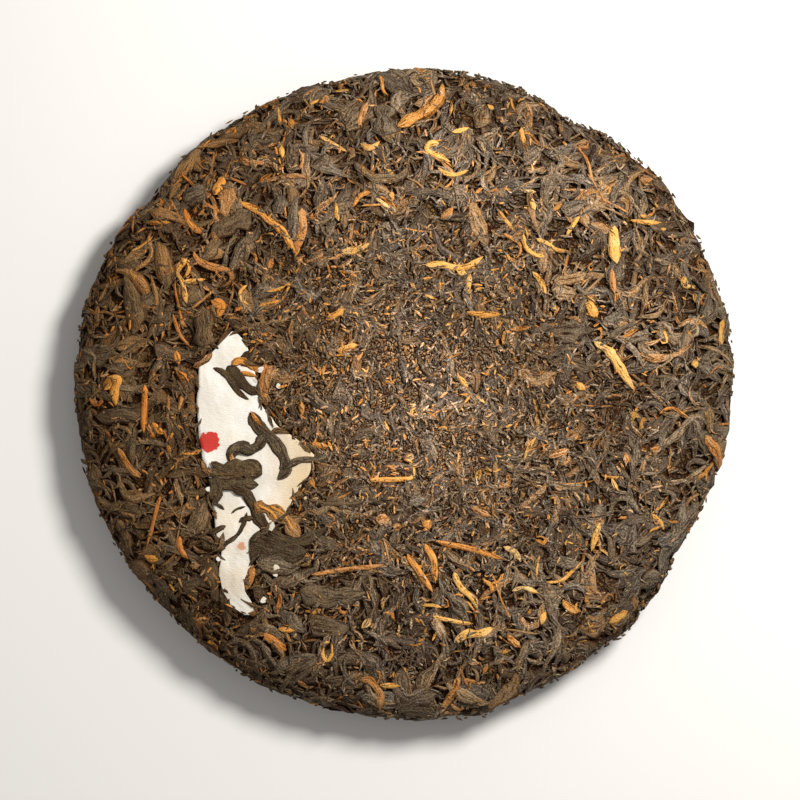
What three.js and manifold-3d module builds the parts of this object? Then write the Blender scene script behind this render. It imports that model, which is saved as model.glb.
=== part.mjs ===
// A round pressed cake of ripe tea lying on its back, with a torn paper slip pressed into its face.
// Millimetres, +Z up. The origin is the middle of the cake, on the surface that it lies on.

import * as THREE from 'three';
import { ConvexHull } from 'three/addons/math/ConvexHull.js';
import Module from 'manifold-3d';

const wasm = await Module();
wasm.setup();

// The pressed body.
const cakeRadius = 100;
const faceHeight = 24.5;
const rimHeight = 11; // height of the widest line of the rim
const facePower = 4.6; // the higher, the flatter the face and the tighter its edge
const restOuterRadius = 69;
const restInnerRadius = 31;
const dimpleDepth = 9; // the mark of the bag's knot in the back
const dimpleWallWidth = 21;

// How the cake's outline leaves the circle: waves round it, and chips and bulges at places on it.
const outlineWaves = [
	{ turns: 1, height: 1.02, shift: - 104 },
	{ turns: 2, height: 0.9, shift: - 45 },
	{ turns: 3, height: 1.0, shift: - 117 },
	{ turns: 4, height: 0.5, shift: - 29 },
	{ turns: 5, height: 0.25, shift: - 69 },
	{ turns: 9, height: 0.3, shift: 0 },
];
const outlineChips = [
	{ angle: 60, width: 5, height: - 2.2 },
	{ angle: 39, width: 4, height: 1.2 },
	{ angle: 141, width: 4, height: - 1.5 },
	{ angle: 283, width: 3, height: 1.6 },
	{ angle: 313, width: 3.5, height: 1.5 },
	{ angle: 330, width: 4, height: - 1.0 },
];
const faceWaves = [
	{ length: 88, height: 0.45, heading: 20 },
	{ length: 57, height: 0.35, heading: 100 },
	{ length: 36, height: 0.22, heading: 155 },
];

// Curled leaves lie side by side all over the body as ridges, with the gaps between them as valleys.
const leafPitch = 4.05; // least distance between two ridge lines
const leafStep = 3.35; // distance between the points of one ridge
const gapClearance = 1.85; // least distance from a gap's point to a ridge line
const gapPitch = 3.3; // least distance between two points in the gaps
const backCoarseness = 1.9; // the back's leaves are drawn this much larger
const leafCrest = 1.0;
const leafLift = 0.45; // some leaves lie this much higher or lower than the rest
const gapDepth = 0.95;
const leafLengths = [ 26, 21, 17, 13, 9.5, 6.5 ]; // the longest are laid first
const leafTries = 2600;
const gapTries = 60000;
const coarseFrom = 4; // distances past the widest line at which the leaves begin to be coarser, and are so
const coarseBy = 22;
const sinkFrom = 8; // the same for the crests, which nowhere on the back stand out of the smooth surface
const sinkBy = 24;
const restBandInner = 46; // the pressed band of the back that carries the cake is flat
const restBandOuter = 58;
const restBandPitch = 6.5;
const restBandMargin = 1.5; // what the leaves keep clear of it

// The paper slip: its torn sides, row by row down the face, as y, left x and right x.
const slipRows = [
	[ 19.5, - 52.8, - 51.6 ],
	[ 15.4, - 56.7, - 48.0 ],
	[ 8.6, - 62.6, - 46.4 ],
	[ - 4.0, - 63.5, - 43.2 ],
	[ - 9.0, - 63.0, - 39.2 ],
	[ - 13.5, - 62.6, - 33.0 ],
	[ - 18.2, - 61.8, - 27.8 ],
	[ - 22.2, - 60.8, - 28.6 ],
	[ - 27.0, - 58.4, - 31.2 ],
	[ - 35.8, - 58.2, - 37.0 ],
	[ - 41.2, - 57.8, - 44.2 ],
	[ - 46.0, - 55.8, - 45.6 ],
	[ - 55.0, - 56.6, - 48.2 ],
	[ - 60.3, - 55.2, - 48.6 ],
	[ - 64.0, - 53.4, - 46.2 ],
	[ - 67.0, - 48.8, - 44.6 ],
];
const slipThickness = 0.4;
const slipDrop = 0.4; // the slip's upper face lies this far below the body's surface
const slipWave = 0.2;
const slipRowStep = 3.6;
const slipColumns = 6;
const recessDepth = 1.55;
const recessMargin = 1.1;
const recessLipWidth = 1.9;
const recessLipHeight = 0.1;
const recessStep = 2.9;
const recessFloorPitch = 4.6;
const recessFloorShift = 1.2; // the floor's points leave their grid by half of this at most

// Leaves that cross the slip. Each has points on the face, a width, a thickness, and the ends that sink in.
// The others end free, or on a leaf beside them.
const crossingLeaves = [
	{
		name: 'forked dark leaf', width: 3, thickness: 1.8, sunkStart: false, sunkEnd: true,
		points: [
			[ - 57.2, 7.3 ], [ - 53.8, 6.4 ], [ - 50.8, 1.9 ],
			[ - 47.5, - 1.2 ], [ - 42.8, - 2.2 ], [ - 36.8, - 2.6 ],
		],
	},
	{
		name: 'golden hook', width: 2.2, thickness: 1.6, sunkStart: false, sunkEnd: true,
		points: [
			[ - 52, 9.8 ], [ - 49.2, 11.3 ], [ - 46.8, 9.2 ],
			[ - 43.6, 7.6 ], [ - 40, 5.4 ],
		],
	},
	{
		name: 'brown stem', width: 2.6, thickness: 1.7, sunkStart: true, sunkEnd: true,
		points: [
			[ - 41, 10.6 ], [ - 42, 5 ], [ - 41.8, 0.2 ],
			[ - 38.6, - 5.8 ],
		],
	},
	{
		name: 'orange tipped leaf', width: 3.1, thickness: 1.7, sunkStart: false, sunkEnd: false,
		points: [
			[ - 46.8, - 5.2 ], [ - 44.6, - 8.3 ], [ - 41.5, - 10.6 ],
			[ - 38.5, - 14.5 ], [ - 36.9, - 19.8 ], [ - 36.4, - 23.4 ],
			[ - 38.6, - 25.6 ],
		],
	},
	{
		name: 'winding leaf', width: 2.4, thickness: 1.6, sunkStart: false, sunkEnd: false,
		points: [
			[ - 40.6, - 11.4 ], [ - 42.3, - 15.2 ], [ - 45.6, - 17 ],
			[ - 49.2, - 15.8 ], [ - 52.3, - 17 ], [ - 53.8, - 21.6 ],
		],
	},
	{
		name: 'end leaf', width: 2.2, thickness: 1.6, sunkStart: false, sunkEnd: true,
		points: [
			[ - 37.4, - 21.6 ], [ - 32.3, - 19.3 ], [ - 26.2, - 19.1 ],
			[ - 20.6, - 16.6 ],
		],
	},
	{
		name: 'wide dark bundle', width: 6.2, thickness: 2.2, sunkStart: true, sunkEnd: false,
		points: [
			[ - 69.2, - 25.6 ], [ - 61.6, - 23.6 ], [ - 54, - 23.2 ],
			[ - 47.5, - 23.4 ], [ - 43.2, - 24.4 ],
		],
	},
	{
		name: 'long leaf down', width: 2.5, thickness: 1.7, sunkStart: true, sunkEnd: true,
		points: [
			[ - 64.6, - 29.4 ], [ - 58, - 28.9 ], [ - 52.3, - 29.1 ],
			[ - 47.9, - 30.8 ], [ - 46.4, - 34 ], [ - 45.9, - 38.3 ],
			[ - 42.3, - 42 ], [ - 35.6, - 44.9 ],
		],
	},
	{
		name: 'veined brown leaf', width: 4.6, thickness: 1.6, sunkStart: false, sunkEnd: true,
		points: [
			[ - 46.2, - 33 ], [ - 40.6, - 33.9 ], [ - 35.6, - 36.9 ],
			[ - 32.2, - 42.4 ],
		],
	},
	{
		name: 'broad dark leaf', width: 4.6, thickness: 1.6, sunkStart: false, sunkEnd: true,
		points: [
			[ - 49.8, - 44.6 ], [ - 44.6, - 45.2 ], [ - 38.4, - 46.2 ],
			[ - 31.4, - 47.6 ],
		],
	},
	{
		name: 'thin leaf', width: 1.5, thickness: 1.4, sunkStart: true, sunkEnd: false,
		points: [
			[ - 62.6, - 48.8 ], [ - 57, - 46.2 ], [ - 51.4, - 43 ],
			[ - 48.8, - 40.4 ], [ - 46.2, - 36.6 ],
		],
	},
	{
		name: 'low brown leaf', width: 2.2, thickness: 1.6, sunkStart: true, sunkEnd: false,
		points: [
			[ - 41.8, - 49.4 ], [ - 46.4, - 52.4 ], [ - 48.5, - 58.6 ],
		],
	},
];
const crossingClearance = 0.58; // from the slip's highest point to a leaf that crosses it
const crossingSteps = 8;
const leafRodSides = 6;
const sinkDepth = 1.7; // how deep a sunk end goes below the body's surface

// The leaves, buds and stems that show best on the face. Both ends of each are sunk between the others.
const raisedLeaves = [
	{ name: 'wide gold leaf', width: 3.0, points: [ [ 61.8, 52.4 ], [ 63.6, 46.0 ], [ 65.6, 39.2 ] ] },
	{ name: 'curved gold bud', width: 2.9, points: [ [ 57.0, 17.4 ], [ 62.0, 15.0 ], [ 66.0, 9.0 ], [ 70.0, 1.0 ] ] },
	{ name: 'long stem', width: 1.9, points: [ [ - 51.2, 60.0 ], [ - 43.5, 55.6 ], [ - 38, 50 ], [ - 32.6, 43.4 ] ] },
	{ name: 'upright orange leaf', width: 2.5, points: [ [ - 59.6, 59.4 ], [ - 57.0, 63.8 ], [ - 54.4, 68.0 ] ] },
	{ name: 'bent orange leaf', width: 2.0, points: [ [ - 69.0, 58.0 ], [ - 66.0, 53.0 ], [ - 62.2, 49.0 ] ] },
	{ name: 'gold curl', width: 1.9, points: [ [ - 65.6, 43 ], [ - 69, 38.6 ], [ - 66.8, 34.4 ], [ - 66.4, 27.4 ] ] },
	{ name: 'left hook', width: 1.9, points: [ [ - 92.2, 0.6 ], [ - 90.8, 5.4 ], [ - 87.4, 5.4 ], [ - 88.0, 1.0 ] ] },
	{ name: 'pink stick', width: 2.0, points: [ [ - 14.8, 81.6 ], [ - 13.0, 86.0 ], [ - 11.2, 90.2 ] ] },
	{ name: 'broad orange leaf', width: 3.6, points: [ [ - 2.6, 83.2 ], [ 5.0, 87.0 ], [ 12.0, 94.0 ] ] },
	{ name: 'pale arc', width: 1.6, points: [ [ 8.2, 75.6 ], [ 11.4, 70.2 ], [ 16.6, 67.6 ], [ 22.6, 69.2 ] ] },
	{ name: 'dark hook', width: 2.4, points: [ [ 19.0, 78.2 ], [ 24.0, 79.0 ], [ 27.4, 73.8 ], [ 36.0, 71.2 ] ] },
	{ name: 'bright gold leaf', width: 2.6, points: [ [ 15.0, 38.0 ], [ 20.0, 40.2 ], [ 24.6, 43.4 ] ] },
	{ name: 'brown arc', width: 1.6, points: [ [ 35.8, 50.2 ], [ 37.2, 45.0 ], [ 40.6, 42.4 ], [ 47.0, 43.4 ] ] },
	{ name: 'middle stem', width: 1.9, points: [ [ - 11.4, - 25.6 ], [ - 4.0, - 24.6 ], [ 3.4, - 24.8 ] ] },
	{ name: 'straight orange stem', width: 2.2, points: [ [ 0.8, - 47.4 ], [ 5.0, - 54.0 ], [ 9.8, - 61.0 ] ] },
	{ name: 'bent orange stem', width: 2.2, points: [ [ 5.2, - 44.6 ], [ 9.4, - 50.0 ], [ 10.4, - 57.6 ] ] },
	{ name: 'gold branch', width: 1.8, points: [ [ 14.2, - 52.4 ], [ 18.6, - 58.6 ], [ 22.2, - 62.6 ], [ 21.6, - 70.0 ] ] },
	{ name: 'lumpy bud', width: 2.7, points: [ [ 14.0, - 75.4 ], [ 19.0, - 71.8 ], [ 28.0, - 71.6 ] ] },
	{ name: 'pale bow', width: 1.8, points: [ [ 31.4, - 60.4 ], [ 36.6, - 58.0 ], [ 42.2, - 60.8 ] ] },
	{ name: 'low gold leaf', width: 2.7, points: [ [ 17.4, - 85.4 ], [ 15.4, - 91.0 ], [ 12.4, - 96.6 ] ] },
	{ name: 'long red stem', width: 1.9, points: [ [ - 29.0, - 54.8 ], [ - 17.0, - 53.4 ], [ - 5.0, - 51.4 ] ] },
	{ name: 'long brown stem', width: 1.8, points: [ [ 12.6, - 44.4 ], [ 22.0, - 46.6 ], [ 32.0, - 49.8 ] ] },
	{ name: 'low leaf', width: 2.6, points: [ [ - 45.0, - 71.2 ], [ - 40.2, - 74.4 ], [ - 35.8, - 78.8 ] ] },
];
const raisedLeafThickness = 1.9;
const raisedLeafHeight = 0.7; // the middle of a raised leaf above the body's surface
const raisedLeafSteps = 6;
const raisedLeafBedPoints = 24;

// Seeded draws, so that the cake is the same every time.
function seededRandom( seed ) {

	let state = seed >>> 0;
	return () => {

		state = ( state + 0x6d2b79f5 ) >>> 0;
		let mixed = Math.imul( state ^ ( state >>> 15 ), 1 | state );
		mixed = ( mixed + Math.imul( mixed ^ ( mixed >>> 7 ), 61 | mixed ) ) ^ mixed;
		return ( ( mixed ^ ( mixed >>> 14 ) ) >>> 0 ) / 4294967296;

	};

}

const radians = THREE.MathUtils.degToRad;
const smoothstep = THREE.MathUtils.smoothstep;

// How many samples the parts of the meridian take.
const faceSamples = 260;
const edgeSamples = 120;
const backSamples = 180;

// The meridian of the smooth body, from the middle of the face over the rim to the middle of the back.
function traceMeridian() {

	const line = [];
	for ( let i = 1; i <= faceSamples; i ++ ) {

		const turn = ( i / faceSamples ) ** 2 * Math.PI / 2;
		line.push( {
			radius: cakeRadius * Math.sin( turn ) ** ( 2 / facePower ),
			height: rimHeight + ( faceHeight - rimHeight ) * Math.cos( turn ),
		} );

	}

	for ( let i = 1; i <= edgeSamples; i ++ ) {

		const turn = ( 1 - i / edgeSamples ) * Math.PI / 2;
		line.push( {
			radius: restOuterRadius + ( cakeRadius - restOuterRadius ) * Math.sin( turn ),
			height: rimHeight * ( 1 - Math.cos( turn ) ),
		} );

	}

	for ( let i = 1; i < backSamples; i ++ ) {

		const radius = restOuterRadius * ( 1 - i / backSamples );
		const inside = smoothstep( restInnerRadius - radius, 0, dimpleWallWidth );
		line.push( { radius, height: dimpleDepth * inside } );

	}

	return line;

}

// Adds to each sample its distance along the meridian, the area passed so far, and its place on a unit sphere
// on which angles are kept. That place is the logarithm of the tangent of half the angle from the pole.
function measureMeridian( line ) {

	let along = line[ 0 ].radius;
	let area = 0;
	let stretch = 0;
	line.forEach( ( sample, i ) => {

		if ( i > 0 ) {

			const before = line[ i - 1 ];
			const step = Math.hypot( sample.radius - before.radius, sample.height - before.height );
			const middleRadius = ( sample.radius + before.radius ) / 2;
			along += step;
			area += middleRadius * step;
			stretch += step / middleRadius;

		}

		Object.assign( sample, { along, area, stretch } );

	} );
	const widest = line.reduce( ( a, b ) => ( b.radius > a.radius ? b : a ) );
	const middle = widest.stretch;
	line.forEach( ( sample ) => ( sample.stretch -= middle ) );
	return line;

}

const meridian = measureMeridian( traceMeridian() );
const firstSample = meridian[ 0 ];
const lastSample = meridian[ meridian.length - 1 ];
const rimAlong = meridian.reduce( ( a, b ) => ( b.radius > a.radius ? b : a ) ).along;

function sampleWhere( key, value ) {

	let low = 0;
	let high = meridian.length - 1;
	while ( high - low > 1 ) {

		const half = ( low + high ) >> 1;
		if ( meridian[ half ][ key ] > value ) high = half;
		else low = half;

	}

	const before = meridian[ low ];
	const after = meridian[ high ];
	const share = THREE.MathUtils.clamp( ( value - before[ key ] ) / ( after[ key ] - before[ key ] ), 0, 1 );
	const mix = ( name ) => before[ name ] + ( after[ name ] - before[ name ] ) * share;
	const step = Math.hypot( after.radius - before.radius, after.height - before.height );
	return {
		radius: mix( 'radius' ),
		height: mix( 'height' ),
		along: mix( 'along' ),
		area: mix( 'area' ),
		stretch: mix( 'stretch' ),
		outward: ( before.height - after.height ) / step,
		upward: ( after.radius - before.radius ) / step,
	};

}

function outlineRadius( angle ) {

	let radius = cakeRadius;
	for ( const wave of outlineWaves ) {

		radius += wave.height * Math.cos( wave.turns * angle + radians( wave.shift ) );

	}

	for ( const chip of outlineChips ) {

		const turned = angle - radians( chip.angle );
		const away = Math.atan2( Math.sin( turned ), Math.cos( turned ) );
		radius += chip.height * Math.exp( - ( ( away / radians( chip.width ) ) ** 2 ) );

	}

	return radius;

}

function faceUnevenness( x, y ) {

	return faceWaves.reduce( ( sum, wave ) => {

		const across = x * Math.cos( radians( wave.heading ) ) + y * Math.sin( radians( wave.heading ) );
		return sum + wave.height * Math.sin( across * 2 * Math.PI / wave.length + wave.heading );

	}, 0 );

}

// How far the outline carries a point of the round body with it, which is nothing near the middle.
function outlineSwell( radius, angle ) {

	return 1 + ( outlineRadius( angle ) / cakeRadius - 1 ) * ( radius / cakeRadius ) ** 2;

}

function bodyPoint( along, angle, lift = 0 ) {

	const at = sampleWhere( 'along', along );
	const swell = outlineSwell( at.radius, angle );
	const reach = at.radius * swell + at.outward * lift;
	const x = reach * Math.cos( angle );
	const y = reach * Math.sin( angle );
	const faceShare = THREE.MathUtils.clamp( at.height / faceHeight, 0, 1 ) * ( along < rimAlong ? 1 : 0 );
	const z = at.height + at.upward * lift + faceUnevenness( x, y ) * faceShare ** 2;
	return new THREE.Vector3( x, y, z );

}

function spherePoint( along, angle ) {

	const polar = 2 * Math.atan( Math.exp( sampleWhere( 'along', along ).stretch ) );
	return new THREE.Vector3(
		Math.sin( polar ) * Math.cos( angle ),
		Math.sin( polar ) * Math.sin( angle ),
		Math.cos( polar ),
	);

}

// The place on the meridian of a point of the face that is seen at x and y from above.
function facePlace( x, y ) {

	const angle = Math.atan2( y, x );
	let radius = Math.hypot( x, y );
	for ( let i = 0; i < 3; i ++ ) radius = Math.hypot( x, y ) / outlineSwell( radius, angle );
	const turn = Math.asin( Math.min( 1, ( radius / cakeRadius ) ** ( facePower / 2 ) ) );
	const sample = Math.sqrt( turn / ( Math.PI / 2 ) ) * faceSamples - 1;
	const low = THREE.MathUtils.clamp( Math.floor( sample ), 0, faceSamples - 2 );
	const along = THREE.MathUtils.lerp( meridian[ low ].along, meridian[ low + 1 ].along, sample - low );
	return { along: Math.max( firstSample.along, along ), angle };

}

function faceSurface( x, y ) {

	const place = facePlace( x, y );
	return bodyPoint( place.along, place.angle ).z;

}

// Points kept in small boxes, to ask quickly whether any lies within a distance.
class NearbyPoints {

	constructor( boxSize ) {

		this.boxSize = boxSize;
		this.boxes = new Map();

	}

	key( x, y, z ) {

		return ( x + 512 ) * 1048576 + ( y + 512 ) * 1024 + ( z + 512 );

	}

	add( point, owner ) {

		const [ x, y, z ] = point.toArray().map( ( value ) => Math.floor( value / this.boxSize ) );
		const key = this.key( x, y, z );
		if ( ! this.boxes.has( key ) ) this.boxes.set( key, [] );
		this.boxes.get( key ).push( { point, owner } );

	}

	anyWithin( point, distance, exceptOwner = null ) {

		const reach = Math.ceil( distance / this.boxSize );
		const [ x, y, z ] = point.toArray().map( ( value ) => Math.floor( value / this.boxSize ) );
		for ( let i = - reach; i <= reach; i ++ ) {

			for ( let j = - reach; j <= reach; j ++ ) {

				for ( let k = - reach; k <= reach; k ++ ) {

					const box = this.boxes.get( this.key( x + i, y + j, z + k ) ) ?? [];
					for ( const kept of box ) {

						if ( kept.owner !== exceptOwner && kept.point.distanceTo( point ) < distance ) return true;

					}

				}

			}

		}

		return false;

	}

}

// The slip's outline as a closed loop, and how far a point of the face lies outside it (negative inside).
const slipLoop = [
	...slipRows.map( ( [ y, left ] ) => new THREE.Vector2( left, y ) ),
	...slipRows.map( ( [ y, , right ] ) => new THREE.Vector2( right, y ) ).reverse(),
];

function outsideSlip( x, y ) {

	const point = new THREE.Vector2( x, y );
	let nearest = Infinity;
	let inside = false;
	slipLoop.forEach( ( start, i ) => {

		const end = slipLoop[ ( i + 1 ) % slipLoop.length ];
		const side = end.clone().sub( start );
		const share = THREE.MathUtils.clamp( point.clone().sub( start ).dot( side ) / side.lengthSq(), 0, 1 );
		nearest = Math.min( nearest, start.clone().addScaledVector( side, share ).distanceTo( point ) );
		const crosses = ( start.y > y ) !== ( end.y > y );
		if ( crosses && x < start.x + side.x * ( y - start.y ) / side.y ) inside = ! inside;

	} );
	return inside ? - nearest : nearest;

}

// The line at a distance outside the slip, as points a step apart, found by walking round it.
function lineRoundSlip( distance, step ) {

	const cornerParts = 6;
	const found = [];
	slipLoop.forEach( ( start, i ) => {

		const end = slipLoop[ ( i + 1 ) % slipLoop.length ];
		const side = end.clone().sub( start );
		const outward = new THREE.Vector2( side.y, - side.x ).normalize();
		const beside = start.clone().addScaledVector( side, 0.5 ).addScaledVector( outward, 0.1 );
		if ( outsideSlip( beside.x, beside.y ) < 0 ) outward.negate();

		const parts = Math.max( 1, Math.round( side.length() / 0.5 ) );
		for ( let part = 0; part < parts; part ++ ) {

			found.push( start.clone().addScaledVector( side, part / parts ).addScaledVector( outward, distance ) );

		}

		for ( let part = 1; part < cornerParts; part ++ ) {

			const turn = part / cornerParts * Math.PI / 2;
			for ( const way of [ turn, - turn ] ) {

				const turned = outward.clone().rotateAround( new THREE.Vector2(), way );
				found.push( end.clone().addScaledVector( turned, distance ) );

			}

		}

	} );
	const kept = [];
	for ( const point of found ) {

		const off = Math.abs( outsideSlip( point.x, point.y ) - distance );
		if ( off < 0.12 && kept.every( ( other ) => other.distanceTo( point ) > step ) ) kept.push( point );

	}

	return kept;

}

// The middle line of a leaf that is laid by hand, with the way that its flat side faces at each point.
function leafLine( points, height, sunkStart, sunkEnd ) {

	const last = points.length - 1;
	const places = points.map( ( [ x, y ] ) => facePlace( x, y ) );
	const centres = places.map( ( { along, angle }, i ) => {

		const sunk = ( i === 0 && sunkStart ) || ( i === last && sunkEnd );
		return bodyPoint( along, angle, sunk ? - sinkDepth : height );

	} );
	const normals = places.map( ( { along, angle } ) => {

		return bodyPoint( along, angle, 1 ).sub( bodyPoint( along, angle ) );

	} );
	return { centres, normals };

}

// Every point of the body's skin: where it lies on the meridian and round it, and how far it stands out.
function layBodyPoints() {

	const draw = seededRandom( 20 );
	const skin = [];
	const ridges = new NearbyPoints( 4 );
	const gaps = new NearbyPoints( 4 );

	const coarseness = ( along ) => {

		return 1 + ( backCoarseness - 1 ) * smoothstep( along - rimAlong, coarseFrom, coarseBy );

	};

	// Nothing stands out beyond the surface on the back, so that the flat band carries the cake.
	const backShare = ( along ) => smoothstep( along - rimAlong, sinkFrom, sinkBy );
	const inRestBand = ( along ) => {

		const { radius } = sampleWhere( 'along', along );
		return along > rimAlong && radius > restBandInner - restBandMargin && radius < restBandOuter + restBandMargin;

	};

	const randomPlace = () => {

		const area = firstSample.area + draw() * ( lastSample.area - firstSample.area );
		return { along: sampleWhere( 'area', area ).along, angle: draw() * 2 * Math.PI };

	};

	const nearSlip = ( along, point, distance ) => along < rimAlong && outsideSlip( point.x, point.y ) < distance;

	// The recess that the slip lies in: its lip, the foot of its wall and its floor.
	const addRecessPoint = ( x, y, lift ) => {

		const place = facePlace( x, y );
		const point = bodyPoint( place.along, place.angle );
		skin.push( { ...place, lift } );
		gaps.add( point, 'recess' );

	};

	const foot = lineRoundSlip( recessMargin, recessStep );
	const lip = lineRoundSlip( recessMargin + recessLipWidth, recessStep );
	foot.forEach( ( point ) => addRecessPoint( point.x, point.y, - recessDepth ) );
	lip.forEach( ( point ) => addRecessPoint( point.x, point.y, recessLipHeight ) );
	const slipBox = new THREE.Box2().setFromPoints( slipLoop );
	for ( let y = slipBox.min.y; y < slipBox.max.y; y += recessFloorPitch ) {

		for ( let x = slipBox.min.x; x < slipBox.max.x; x += recessFloorPitch ) {

			const shiftedX = x + ( draw() - 0.5 ) * recessFloorShift;
			const shiftedY = y + ( draw() - 0.5 ) * recessFloorShift;
			const inside = outsideSlip( shiftedX, shiftedY ) < - recessFloorShift;
			if ( inside ) addRecessPoint( shiftedX, shiftedY, - recessDepth );

		}

	}

	// The beds of the raised leaves.
	for ( const { points } of raisedLeaves ) {

		const { centres } = leafLine( points, 0, false, false );
		const curve = new THREE.CatmullRomCurve3( centres, false, 'centripetal' );
		curve.getPoints( raisedLeafBedPoints ).forEach( ( point ) => ridges.add( point, 'raised' ) );

	}

	// The flat band.
	for ( let radius = restBandInner; radius <= restBandOuter; radius += ( restBandOuter - restBandInner ) / 2 ) {

		const along = meridian.filter( ( sample ) => sample.along > rimAlong && sample.radius >= radius ).pop().along;
		const count = Math.round( 2 * Math.PI * radius / restBandPitch );
		const turn = draw();
		for ( let i = 0; i < count; i ++ ) {

			const angle = ( i + turn + ( draw() - 0.5 ) * 0.2 ) / count * 2 * Math.PI;
			skin.push( { along, angle, lift: 0 } );
			gaps.add( bodyPoint( along, angle ), 'band' );

		}

	}

	// The leaves: a bent line each, kept apart from the others.
	let leafNumber = 0;
	for ( const length of leafLengths ) {

		for ( let attempt = 0; attempt < leafTries; attempt ++ ) {

			const start = randomPlace();
			const scale = coarseness( start.along );
			const steps = Math.max( 2, Math.round( length / leafStep ) );
			const bend = ( draw() - 0.5 ) * 0.5;
			let heading = draw() * 2 * Math.PI;
			const crest = leafCrest + ( draw() * 2 - 1 ) * leafLift;
			let place = { ...start };
			const line = [];
			let fits = true;
			for ( let i = 0; i <= steps && fits; i ++ ) {

				const point = bodyPoint( place.along, place.angle );
				const radius = sampleWhere( 'along', place.along ).radius;
				fits = radius > 4 && ! ridges.anyWithin( point, leafPitch * scale )
					&& ! gaps.anyWithin( point, gapClearance * scale * 1.15 )
					&& ! nearSlip( place.along, point, recessMargin + recessLipWidth + gapClearance )
					&& ! inRestBand( place.along );
				const endFall = Math.sin( Math.PI * ( i + 0.6 ) / ( steps + 1.2 ) ) ** 0.6;
				line.push( { ...place, lift: crest * endFall, point } );
				heading += bend;
				const next = place.along + Math.cos( heading ) * leafStep * scale;
				fits = fits && next > firstSample.along && next < lastSample.along;
				const turned = Math.sin( heading ) * leafStep * scale / Math.max( radius, 4 );
				place = { along: next, angle: place.angle + turned };

			}

			if ( ! fits ) continue;
			leafNumber ++;
			line.forEach( ( at, i ) => {

				const sunk = backShare( at.along ) * ( leafCrest + leafLift );
				skin.push( { along: at.along, angle: at.angle, lift: at.lift - sunk } );
				ridges.add( at.point, leafNumber );
				const before = line[ i - 1 ];
				if ( before ) {

					for ( const share of [ 0.25, 0.5, 0.75 ] ) {

						ridges.add( at.point.clone().lerp( before.point, share ), leafNumber );

					}

				}

			} );

		}

	}

	// The gaps between them.
	for ( let attempt = 0; attempt < gapTries; attempt ++ ) {

		const place = randomPlace();
		const scale = coarseness( place.along );
		const point = bodyPoint( place.along, place.angle );
		const clear = sampleWhere( 'along', place.along ).radius > 1.2
			&& ! ridges.anyWithin( point, gapClearance * scale )
			&& ! gaps.anyWithin( point, gapPitch * scale )
			&& ! nearSlip( place.along, point, recessMargin + recessLipWidth + gapPitch / 2 )
			&& ! inRestBand( place.along );
		if ( ! clear ) continue;
		gaps.add( point, 'gap' );
		const sunk = backShare( place.along ) * ( leafCrest + leafLift ) * 0.5;
		skin.push( { ...place, lift: - gapDepth * ( 0.6 + 0.4 * draw() ) - sunk } );

	}

	return skin;

}

// The hull of points on a sphere joins each to its neighbours. The same joins make the skin of the body's points.
function skinBody( skin ) {

	const onSphere = skin.map( ( place ) => spherePoint( place.along, place.angle ) );
	const numberOf = new Map( onSphere.map( ( point, i ) => [ point, i ] ) );
	const hull = new ConvexHull().setFromPoints( onSphere );
	const triangles = [];
	for ( const face of hull.faces ) {

		let edge = face.edge;
		do {

			triangles.push( numberOf.get( edge.head().point ) );
			edge = edge.next;

		} while ( edge !== face.edge );

	}

	const positions = skin.flatMap( ( place ) => bodyPoint( place.along, place.angle, place.lift ).toArray() );
	return toSolid( positions, triangles );

}

function toSolid( positions, triangles ) {

	return new wasm.Manifold( new wasm.Mesh( {
		numProp: 3,
		vertProperties: new Float32Array( positions ),
		triVerts: new Uint32Array( triangles ),
	} ) );

}

function toGeometry( solid ) {

	const mesh = solid.getMesh();
	const geometry = new THREE.BufferGeometry();
	geometry.setAttribute( 'position', new THREE.BufferAttribute( new Float32Array( mesh.vertProperties ), 3 ) );
	geometry.setIndex( new THREE.BufferAttribute( new Uint32Array( mesh.triVerts ), 1 ) );
	return geometry;

}

// A leaf as a flattened rod along a curve, thinner at both ends. The normals say which way its flat side faces.
function leafRod( centres, normals, width, thickness, steps ) {

	const curve = new THREE.CatmullRomCurve3( centres, false, 'centripetal' );
	const facing = new THREE.CatmullRomCurve3( normals, false, 'centripetal' );
	const positions = [];
	const triangles = [];
	for ( let i = 0; i <= steps; i ++ ) {

		const share = i / steps;
		const centre = curve.getPoint( share );
		const forward = curve.getTangent( share );
		const across = new THREE.Vector3().crossVectors( facing.getPoint( share ), forward ).normalize();
		const up = new THREE.Vector3().crossVectors( forward, across ).normalize();
		const taper = 0.35 + 0.65 * Math.sin( Math.PI * ( share * 0.86 + 0.07 ) ) ** 0.5;
		for ( let side = 0; side < leafRodSides; side ++ ) {

			const turn = side / leafRodSides * 2 * Math.PI;
			const point = centre.clone()
				.addScaledVector( across, Math.cos( turn ) * width / 2 * taper )
				.addScaledVector( up, Math.sin( turn ) * thickness / 2 * taper );
			positions.push( ...point.toArray() );

		}

	}

	const at = ( ring, side ) => ring * leafRodSides + side % leafRodSides;
	for ( let ring = 0; ring < steps; ring ++ ) {

		for ( let side = 0; side < leafRodSides; side ++ ) {

			triangles.push( at( ring, side ), at( ring + 1, side + 1 ), at( ring + 1, side ) );
			triangles.push( at( ring, side ), at( ring, side + 1 ), at( ring + 1, side + 1 ) );

		}

	}

	for ( let side = 1; side < leafRodSides - 1; side ++ ) {

		triangles.push( at( 0, 0 ), at( 0, side + 1 ), at( 0, side ) );
		triangles.push( at( steps, 0 ), at( steps, side ), at( steps, side + 1 ) );

	}

	return toSolid( positions, triangles );

}

function crossingLeaf( { points, width, thickness, sunkStart, sunkEnd } ) {

	const height = crossingClearance + slipWave - slipDrop + thickness / 2;
	const { centres, normals } = leafLine( points, height, sunkStart, sunkEnd );
	return leafRod( centres, normals, width, thickness, crossingSteps );

}

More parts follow.
